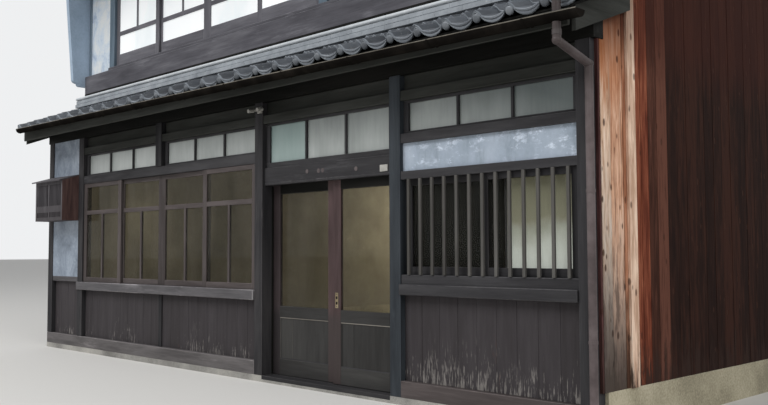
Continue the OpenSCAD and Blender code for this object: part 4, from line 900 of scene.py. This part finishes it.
EAVE_Y = -5.435
PENT_X0, PENT_X1, PENT_BACK = -4.304, 4.347, -4.605
PENT_COLUMNS, PENT_ROWS, PENT_SHORT = 30, 4, 0.07
PENT_EAVE_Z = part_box("pent_deck")[1][2] - PENT_SLOPE * (PENT_BACK - EAVE_Y)
pent_length = (PENT_BACK - EAVE_Y) / math.cos(math.atan(PENT_SLOPE)) - PENT_SHORT
tiled_slope("pent_pantiles", "pent_tiles", PENT_X0, PENT_X1, PENT_COLUMNS, EAVE_Y, PENT_EAVE_Z, PENT_SLOPE,
            pent_length, PENT_ROWS)

MAIN_X, MAIN_COLUMNS, MAIN_ROWS, RIDGE_HALF = 4.408, 31, 25, 0.104
MAIN_EAVE_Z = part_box("main_deck")[1][2] + MAIN_SLOPE * EAVE_Y
main_length = (-EAVE_Y - RIDGE_HALF - 0.003) / math.cos(math.atan(MAIN_SLOPE))
for back, name in ((1, "main_pantiles_front"), (-1, "main_pantiles_rear")):
    tiled_slope(name, "main_tiles", -MAIN_X, MAIN_X, MAIN_COLUMNS, back * EAVE_Y, MAIN_EAVE_Z, MAIN_SLOPE,
                main_length, MAIN_ROWS, back)

# Flat ridge tiles: courses over the pent roof's back and on the ridge

FLAT_TILE, TILE_JOINT, UNEVEN, LEAST_PIECE = 0.3, 0.0005, 0.001, 0.01


def course(heap, x0, x1, y0, y1, z0, z1, offset, edge=0.004):
    """A course of flat tiles with narrow joints, laid along x."""
    cuts = [x0] + [x for x in np.arange(x0 + offset, x1, FLAT_TILE) if x > x0 + 0.05] + [x1]
    for a, b in zip(cuts, cuts[1:]):
        heap.block((a, y0, z0), (b - TILE_JOINT, y1, z1 + rng.uniform(-UNEVEN, 0.0)), edge)


def laid(x0, x1, length):
    """Starts and ends of pieces along x. The last one is cut short, or left out where it is tiny."""
    count = math.ceil((x1 - x0 - LEAST_PIECE) / length)
    return [(x0 + i * length, min(x0 + (i + 1) * length, x1)) for i in range(count)]


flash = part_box("pent_flashing")
flash_x0, flash_x1, flash_top = flash[0][0], flash[1][0], flash[1][2]
BED_T, BED_DROP, CAP_AHEAD, CAP_R = 0.064, 0.1, 0.1, 0.019
# The two flat courses: how far each stands ahead, its drop below the top and its height
COURSES = ((0.124, 0.14, 0.046), (0.108, 0.087, 0.042))
heap = Heap()
bed = [(y, PENT_EAVE_Z + PENT_SLOPE * (y - EAVE_Y)) for y in (PENT_BACK - BED_T, PENT_BACK)]
bed_top = flash_top - BED_DROP
# The bed is near-black wood: painted shade in the recesses between and below the courses
heap.prism([(PENT_BACK, bed_top), (PENT_BACK - BED_T, bed_top)] + bed, "X", flash_x0, flash_x1, 1)
for number, (ahead, drop, height) in enumerate(COURSES):
    low, offset = flash_top - drop, FLAT_TILE / 2 * number
    course(heap, flash_x0, flash_x1, PENT_BACK - ahead, PENT_BACK, low, low + height, offset, 0.0025)
for x0, x1 in laid(flash_x0, flash_x1, FLAT_TILE):
    ring = [(PENT_BACK - CAP_AHEAD - 0.018 * math.sin(t), flash_top - CAP_R + CAP_R * math.cos(t))
            for t in np.linspace(0, math.pi, 9)]
    ring += [(PENT_BACK, flash_top - 2 * CAP_R), (PENT_BACK, flash_top)]
    heap.prism(ring[::-1], "X", x0, x1 - 0.0008, 2)
heap.make("pent_noshi_tiles", [noshi_tile, SMOKED_AND_SHADE[X], noshi_lip], "roof_tile", replaces=["pent_flashing"],
          smooth=30)

# Ridge: a bed, four courses and round cap tiles with wider collars
RIDGE_X = MAIN_X - 0.04
RIDGE_COURSES, COURSE_H, COURSE_HALF, COURSE_IN = 4, 0.035, 0.15, 0.012
RIDGE_CAP_R, RIDGE_CAP, COLLAR = 0.08, 0.28, 0.05
RIDGE_RISE, CORE_HALF = 0.09, 0.11
ridge_z = MAIN_EAVE_Z - MAIN_SLOPE * EAVE_Y + RIDGE_RISE
cap_z = ridge_z + RIDGE_COURSES * COURSE_H
heap = Heap()
top = MAIN_EAVE_Z + MAIN_SLOPE * (-EAVE_Y - RIDGE_HALF)
heap.prism([(-RIDGE_HALF, top), (0, top + MAIN_SLOPE * RIDGE_HALF), (RIDGE_HALF, top), (RIDGE_HALF, ridge_z),
            (-RIDGE_HALF, ridge_z)], "X", -RIDGE_X, RIDGE_X, 1)
for k in range(RIDGE_COURSES):
    low = ridge_z + COURSE_H * k
    for side in (-1, 1):
        course(heap, -RIDGE_X, RIDGE_X, 0, side * (COURSE_HALF - COURSE_IN * k), low + 0.004, low + COURSE_H,
               FLAT_TILE / 2 * (k % 2))
heap.block((-RIDGE_X, -CORE_HALF, ridge_z), (RIDGE_X, CORE_HALF, cap_z), 0.001, 1)
for x0, x1 in laid(-RIDGE_X, RIDGE_X, RIDGE_CAP):
    for a, b, radius in ((x0, x1 - 0.002, RIDGE_CAP_R - 0.008), (x1 - COLLAR, x1 - 0.001, RIDGE_CAP_R)):
        heap.prism(arc(0, cap_z - 0.001, radius, 12, math.pi), "X", a, b)
heap.make("ridge_tiles", [roof_tile, SMOKED_AND_SHADE[X]], "roof_tile", replaces=["main_ridge"], smooth=30)

# Ridge end tiles: a shield, a smaller one on it and a round boss
SHIELD = [(0.165, -0.02), (0.16, 0.09), (0.13, 0.15), (0.1, 0.215), (0.05, 0.242)]
BOSS_Z, BOSS_R, INNER_SHARE = 0.11, 0.055, 0.8
heap = Heap()
shield = [(-y, z) for y, z in SHIELD[:1]] + SHIELD + [(-y, z) for y, z in SHIELD[:0:-1]]
inner = [(INNER_SHARE * y, BOSS_Z + INNER_SHARE * (z - BOSS_Z)) for y, z in shield]
for side in (-1, 1):
    for outline, start, end in ((shield, 0.002, 0.03), (inner, 0.03, 0.036),
                                (arc(0, BOSS_Z, BOSS_R, 24), 0.036, 0.0395)):
        x0, x1 = sorted((side * (RIDGE_X + start), side * (RIDGE_X + end)))
        heap.prism([(y, ridge_z + z) for y, z in outline], "X", x0, x1)
heap.make("ridge_end_tiles", [roof_tile], "roof_tile", smooth=30)

# Board cladding of the side walls


def levels(node, y):
    """Heights of a node's corners at depth y."""
    return sorted({round(v.co.z, 4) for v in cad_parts[node].data.vertices if abs(v.co.y - y) < 1e-4})


OUTER_X = 4.128
CLAD_Y0, STEP_Y, CLAD_Y1 = -4.985, -4.605, 4.605
side_low, *_, low_top = levels("side_cladding", CLAD_Y0)
low_back = [z for z in levels("side_cladding", STEP_Y) if side_low < z < 3.3][-1]
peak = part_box("side_cladding")[1][2]
pent_deck_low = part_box("pent_deck")[0]


def side_top(y):
    if y < STEP_Y - 1e-6:
        return low_top + (low_back - low_top) * (y - CLAD_Y0) / (STEP_Y - CLAD_Y0)
    return peak - MAIN_SLOPE * abs(y)


def deck_under(y):
    return pent_deck_low[2] + PENT_SLOPE * (y - pent_deck_low[1])


def cedar_look(name, dark, mid, pale, knots=0.6, aged=None, foot=(0.2, 0.5), shade=0.0, glow=0.0):
    """Unpainted boards with grain and knots.

    aged are the heights between which they turn grey, foot those between which they darken,
    and shade and glow the strengths of the painted shade and the painted orange glow under the eaves."""
    look = Look(name, 0.75, Specular_IOR_Level=0.08)
    height = look.axis("Z")
    streak, fibre = look.noise(26, 4, 0.65, 0.4, squeeze=0.1), look.noise(150, 3, 0.7, squeeze=0.03)
    tone = 0.5 * streak + 0.2 * fibre + 0.3 * look.noise(2.2, 3, 0.6, squeeze=0.25) + look.island(-0.08, 0.08)
    colour = tone.ramp((0.4, dark), (0.5, mid), (0.58, pale))
    rag = look.noise(16, 4, 0.7, squeeze=0.16)
    ragged = height + rag.span(0.3, 0.7, -0.35, 0.35)
    # Painted orange glow at the edge of the shade under the eaves
    if glow:
        colour = colour.mix(ragged.span(2.0, 2.6, 0, glow), 0xB06A3E)
    if aged:
        colour = colour.mix(ragged.span(aged[1], aged[0], 0, 0.85), 0x847972)
    cells = look.field("TexVoronoi", output="Distance", Vector=look.squeezed(0.5), Scale=12.0)
    knot = (cells.span(0.12, 0.19, 1, 0) * look.noise(2.5, 1).span(0.4, 0.43)).held()
    colour = colour.mix(knots * knot, 0x3C241A)
    seam = look.noise(30, 2, 0.5, squeeze=0.06).span(0.62, 0.7, 0, 0.5)
    colour = colour.mix(seam, linear(dark, 0.6))
    colour = colour.mix(ragged.span(foot[1], foot[0], 0, 0.9), 0x3C342F if aged else 0x32241F)
    if aged:
        colour = colour.mix((rag.span(0.5, 0.62, 0, 0.8) * height.span(0.9, 2.2, 1, 0)).held(), 0x423936)
    # Painted shade under the eaves
    if shade:
        colour = colour.mix(height.span(2.42, 2.8, 0, shade), 0x3C1C14)
    return look.finish(colour, None, streak - knot, 0.4)


CEDARS = [
    cedar_look("pale_cedar", 0xA07458, 0xE6C6AC, 0xFAE8D6, 0.85, (0.7, 1.9), (0.35, 1.15), 0.8, 0.75),
    cedar_look("red_cedar", 0x5C2C1E, 0x804632, 0x9E624A, shade=0.6),
    cedar_look("brown_cedar", 0x1A0C08, 0x26150F, 0x361F17, shade=0.5),
    cedar_look("batten_cedar", 0xC4A088, 0xF2D4BC, 0xFCEAD8, 0.7, shade=0.55),
    cedar_look("orange_cedar", 0x82523A, 0xA87458, 0xC08E72, foot=(0.5, 1.1), shade=0.9),
    cedar_look("umber_cedar", 0x341D15, 0x4C2E24, 0x644034, shade=0.6),
    cedar_look("dusky_cedar", 0x34201F, 0x482E2D, 0x5E403E, foot=(0.3, 0.9), shade=0.7),
    cedar_look("tawny_cedar", 0x98664C, 0xD0A082, 0xEEC8AE, 0.85, (0.5, 1.5), (0.3, 0.9), 0.8, 0.5)]
PALE, RED, BROWN, BATTEN, ORANGE, UMBER, DUSKY, TAWNY = range(8)
# The boards get darker from the front corner backwards: partly their weathered colour, partly painted shade
# of the narrow gap along the side
FRONT_EDGES = [(-5.055, DUSKY), (-5.027, PALE), (-4.904, TAWNY), (-4.742, ORANGE), (STEP_Y, RED), (-4.5, RED),
               (-4.395, UMBER), (-4.27, UMBER)]
BOARD, BOARD_T, FRONT_TOP = 0.152, 0.022, 2.652
BATTEN_W, BATTEN_FACE = 0.1, 4.172


def clad(y0, y1, tops, face, kinds, inner=OUTER_X, lead=()):
    """An upright board from y0 to y1 on both side walls; lead are more points of its top."""
    outline = [(y0, side_low), (y1, side_low), (y1, tops[1]), *lead, (y0, tops[0])]
    for side, heap, kind in zip((1, -1), (heap_right, heap_left), kinds):
        x0, x1 = sorted((side * inner, side * face))
        heap.prism(outline, "X", x0, x1, kind)


edges = [edge for edge, kind in FRONT_EDGES]
while edges[-1] + 1.4 * BOARD < CLAD_Y1:
    edges.append(edges[-1] + BOARD)
edges = sorted(set(round(e, 4) for e in edges + [0.0, CLAD_Y1]))
heap_right, heap_left = Heap(), Heap()
for number, (a, b) in enumerate(zip(edges, edges[1:])):
    b_shown = b - (0.007 if a < STEP_Y else 0.004)
    tops, lead = [side_top(a), side_top(b_shown)], ()
    if a < STEP_Y - 1e-6:
        tops = [t - 0.001 for t in tops]
    if a < CLAD_Y0:
        tops = [FRONT_TOP, FRONT_TOP]
        if CLAD_Y0 < b_shown:
            tops[1] = side_top(b_shown) - 0.001
            lead = ((CLAD_Y0, low_top - 0.001), (CLAD_Y0, FRONT_TOP))
    kind = FRONT_EDGES[number][1] if number < len(FRONT_EDGES) else BROWN
    clad(a, b_shown, tops, OUTER_X + BOARD_T + rng.uniform(0, 0.003), (kind, BROWN), lead=lead)
for y1, kind in ((STEP_Y, BATTEN), (CLAD_Y1, BROWN)):
    y0 = y1 - BATTEN_W
    tops = [deck_under(y) - 0.002 if kind == BATTEN else side_top(y) for y in (y0, y1)]
    clad(y0, y1, tops, BATTEN_FACE, (kind, BROWN), OUTER_X + BOARD_T + 0.0032)
heap_right.make("side_boards_right", CEDARS, "cedar", replaces=["side_cladding"])
heap_left.make("side_boards_left", CEDARS, "cedar", replaces=["side_cladding"])

# Eave board and verge boards of the pent roof; the verge boards butt against the corner battens
heap = Heap()
verge_left, eave, verge_right = boxes("pent_boards")
heap.timber(*eave, 0.003, X)
drop = np.ptp(levels("pent_boards", STEP_Y))
for low, high in (verge_left, verge_right):
    y0, y1 = low[1], STEP_Y - BATTEN_W - 0.002
    outline = [(y, deck_under(y) - drop) for y in (y0, y1)] + [(y, deck_under(y) - 0.0005) for y in (y1, y0)]
    heap.prism(outline, "X", low[0], high[0], Y)
heap.make("pent_eave_boards", FRIEZE, replaces=["pent_boards"])

# Boards under the windows


def wainscot_look():
    """Dark upright boards with pale scratches and washed-out feet."""
    look = Look("wainscot_boards", 0.7, Specular_IOR_Level=0.2)
    across, height = look.axis("X"), look.axis("Z")
    streak = look.noise(24, 4, 0.65, 0.3, squeeze=0.1)
    tone = 0.5 * streak + 0.5 * look.noise(3, 3, 0.6, squeeze=0.1) + look.island(-0.03, 0.03)
    colour = tone.ramp((0.34, 0x322E2F), (0.5, 0x393537), (0.66, 0x413D3F))
    patch = look.noise(1.7, 3, 0.6, squeeze=0.3).span(0.35, 0.65, -0.1, 0.08)
    wear = 0.15 * height.span(0.16, 0.5, 1.0, 0.0) + (across.span(-3.1, 2.4, -0.11, -0.03) + patch)
    worn = (look.noise(58, 4, 0.7, squeeze=0.12) + wear).span(0.62, 0.7, 0, 0.65)
    red = look.noise(9, 4, 0.7, squeeze=0.2).span(0.66, 0.72, 0, 0.4)
    colour = colour.mix((red * height.span(0.5, 0.8, 1, 0)).held(), 0x543C34)
    colour = colour.mix((worn * height.span(0.26, 0.6, 1, 0)).held(), 0x948F8A)
    return look.finish(colour, None, streak, 0.3, 0.003)


WAINSCOT_BOARD, WAINSCOT_GAP = 0.182, 0.0006
heap = Heap()
for low, high in boxes("wainscot"):
    count = max(1, round((high[0] - low[0]) / WAINSCOT_BOARD))
    step = (high[0] - low[0]) / count
    for i in range(count):
        x = low[0] + i * step
        shift = rng.uniform(0, 0.002)
        front, back = (low[1] + shift, high[1]) if low[1] < 0 else (low[1], high[1] - shift)
        heap.block((x + WAINSCOT_GAP, front, low[2]), (x + step - WAINSCOT_GAP, back, high[2]), 0.002)
heap.make("wainscot_boards", [wainscot_look()], replaces=["wainscot"])

# Rolled outer edges of the gutters, in a pale colour: a painted highlight along the rims

BEAD_R = 0.004
for node, sides in (("pent_gutter", (1,)), ("main_gutters", (1, -1))):
    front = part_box(node)[0][1]
    corners = [v.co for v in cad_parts[node].data.vertices if v.co.y < front + 0.006]
    left, right = min(c.x for c in corners), max(c.x for c in corners)
    left_z = max(c.z for c in corners if c.x < left + 0.001)
    right_z = max(c.z for c in corners if c.x > right - 0.001)
    heap = Heap()
    for side in sides:
        y = side * (front + BEAD_R + 0.0005)
        heap.loft([[(x, u, v) for u, v in arc(y, z, BEAD_R, 10)]
                   for x, z in ((left + 0.002, left_z), (right - 0.002, right_z))])
    heap.make(node + "_bead", [gutter_rim_highlight], "gutter", smooth=40)

# Collars and wall straps of the front downpipe: heights and half heights
COLLARS, STRAPS = ((2.618, 0.016),), ((1.62, 0.011), (0.62, 0.011))
STRAP_HALF, WALL_Y = 0.008, -5.104
corners = np.array([v.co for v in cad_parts["pent_downpipe"].data.vertices])
heap = Heap()
for end, heights in ((corners[:, 2].min(), STRAPS), (corners[:, 2].max(), COLLARS)):
    ends = corners[np.abs(corners[:, 2] - end) < 0.001]
    (x, y, z), pipe_r = (ends.min(0) + ends.max(0)) / 2, np.ptp(ends[:, 0]) / 2 + 0.0028
    for z, half in heights:
        heap.prism(arc(x, y, pipe_r, 24), "Z", z - half, z + half, 0 if heights == COLLARS else 1)
        if heights == STRAPS:
            heap.block((x - STRAP_HALF, y + pipe_r - 0.002, z - half), (x + STRAP_HALF, WALL_Y, z + half),
                       0.001, 1)
heap.make("downpipe_collars", [pipe_collar, pipe_paint], "gutter", smooth=40)

# Floor, backdrop and light

FLOOR_HALF = 160
mesh = bpy.data.meshes.new("studio_floor")
mesh.from_pydata([(u * FLOOR_HALF, v * FLOOR_HALF, 0) for u, v in ((-1, -1), (1, -1), (1, 1), (-1, 1))], [],
                 [(0, 1, 2, 3)])
mesh.materials.append(Look("studio_floor", 0.9, Base_Color=0xDEDCD8).material)
add_object("studio_floor", mesh)

world = bpy.data.worlds.new("studio")
world.use_nodes = True
scene.world = world
studio = Nodes(world.node_tree)
sky = studio.tree.nodes["Background"]
studio.feed(sky.inputs["Color"], (0.95, 0.97, 1.0, 1))
studio.feed(sky.inputs["Strength"], 0.42)
backdrop = studio.node("Background", Color=(0.86, 0.87, 0.88, 1))
rays = studio.node("LightPath").outputs
shown = Field(studio, rays["Is Camera Ray"]).larger(rays["Is Glossy Ray"]).larger(rays["Is Transmission Ray"])
output = studio.tree.nodes["World Output"]
studio.feed(output.inputs["Surface"], studio.node("MixShader", shown, sky, backdrop))


def lamp(name, kind, at, watts, target=None, **settings):
    data = bpy.data.lights.new(name, kind)
    data.energy = watts
    for key, value in settings.items():
        setattr(data, key, value)
    piece = add_object(name, data)
    piece.location = at
    if target:
        piece.rotation_euler = (Vector(target) - Vector(at)).to_track_quat("-Z", "Y").to_euler()


lamp("key_light", "AREA", (-4, -20, 19), 3400, (0, -3, 2.5), size=12)
lamp("side_light", "AREA", (20, -10, 12), 1300, (2, -3, 2.5), size=10)
WARM = {"color": (1.0, 0.9, 0.74), "shadow_soft_size": 0.3}
lamp("room_lamp_left", "POINT", (-3.4, -3.85, 1.6), 4.5, **WARM)
lamp("room_lamp_rear", "POINT", (-2.8, 1.5, 1.8), 60, **WARM)
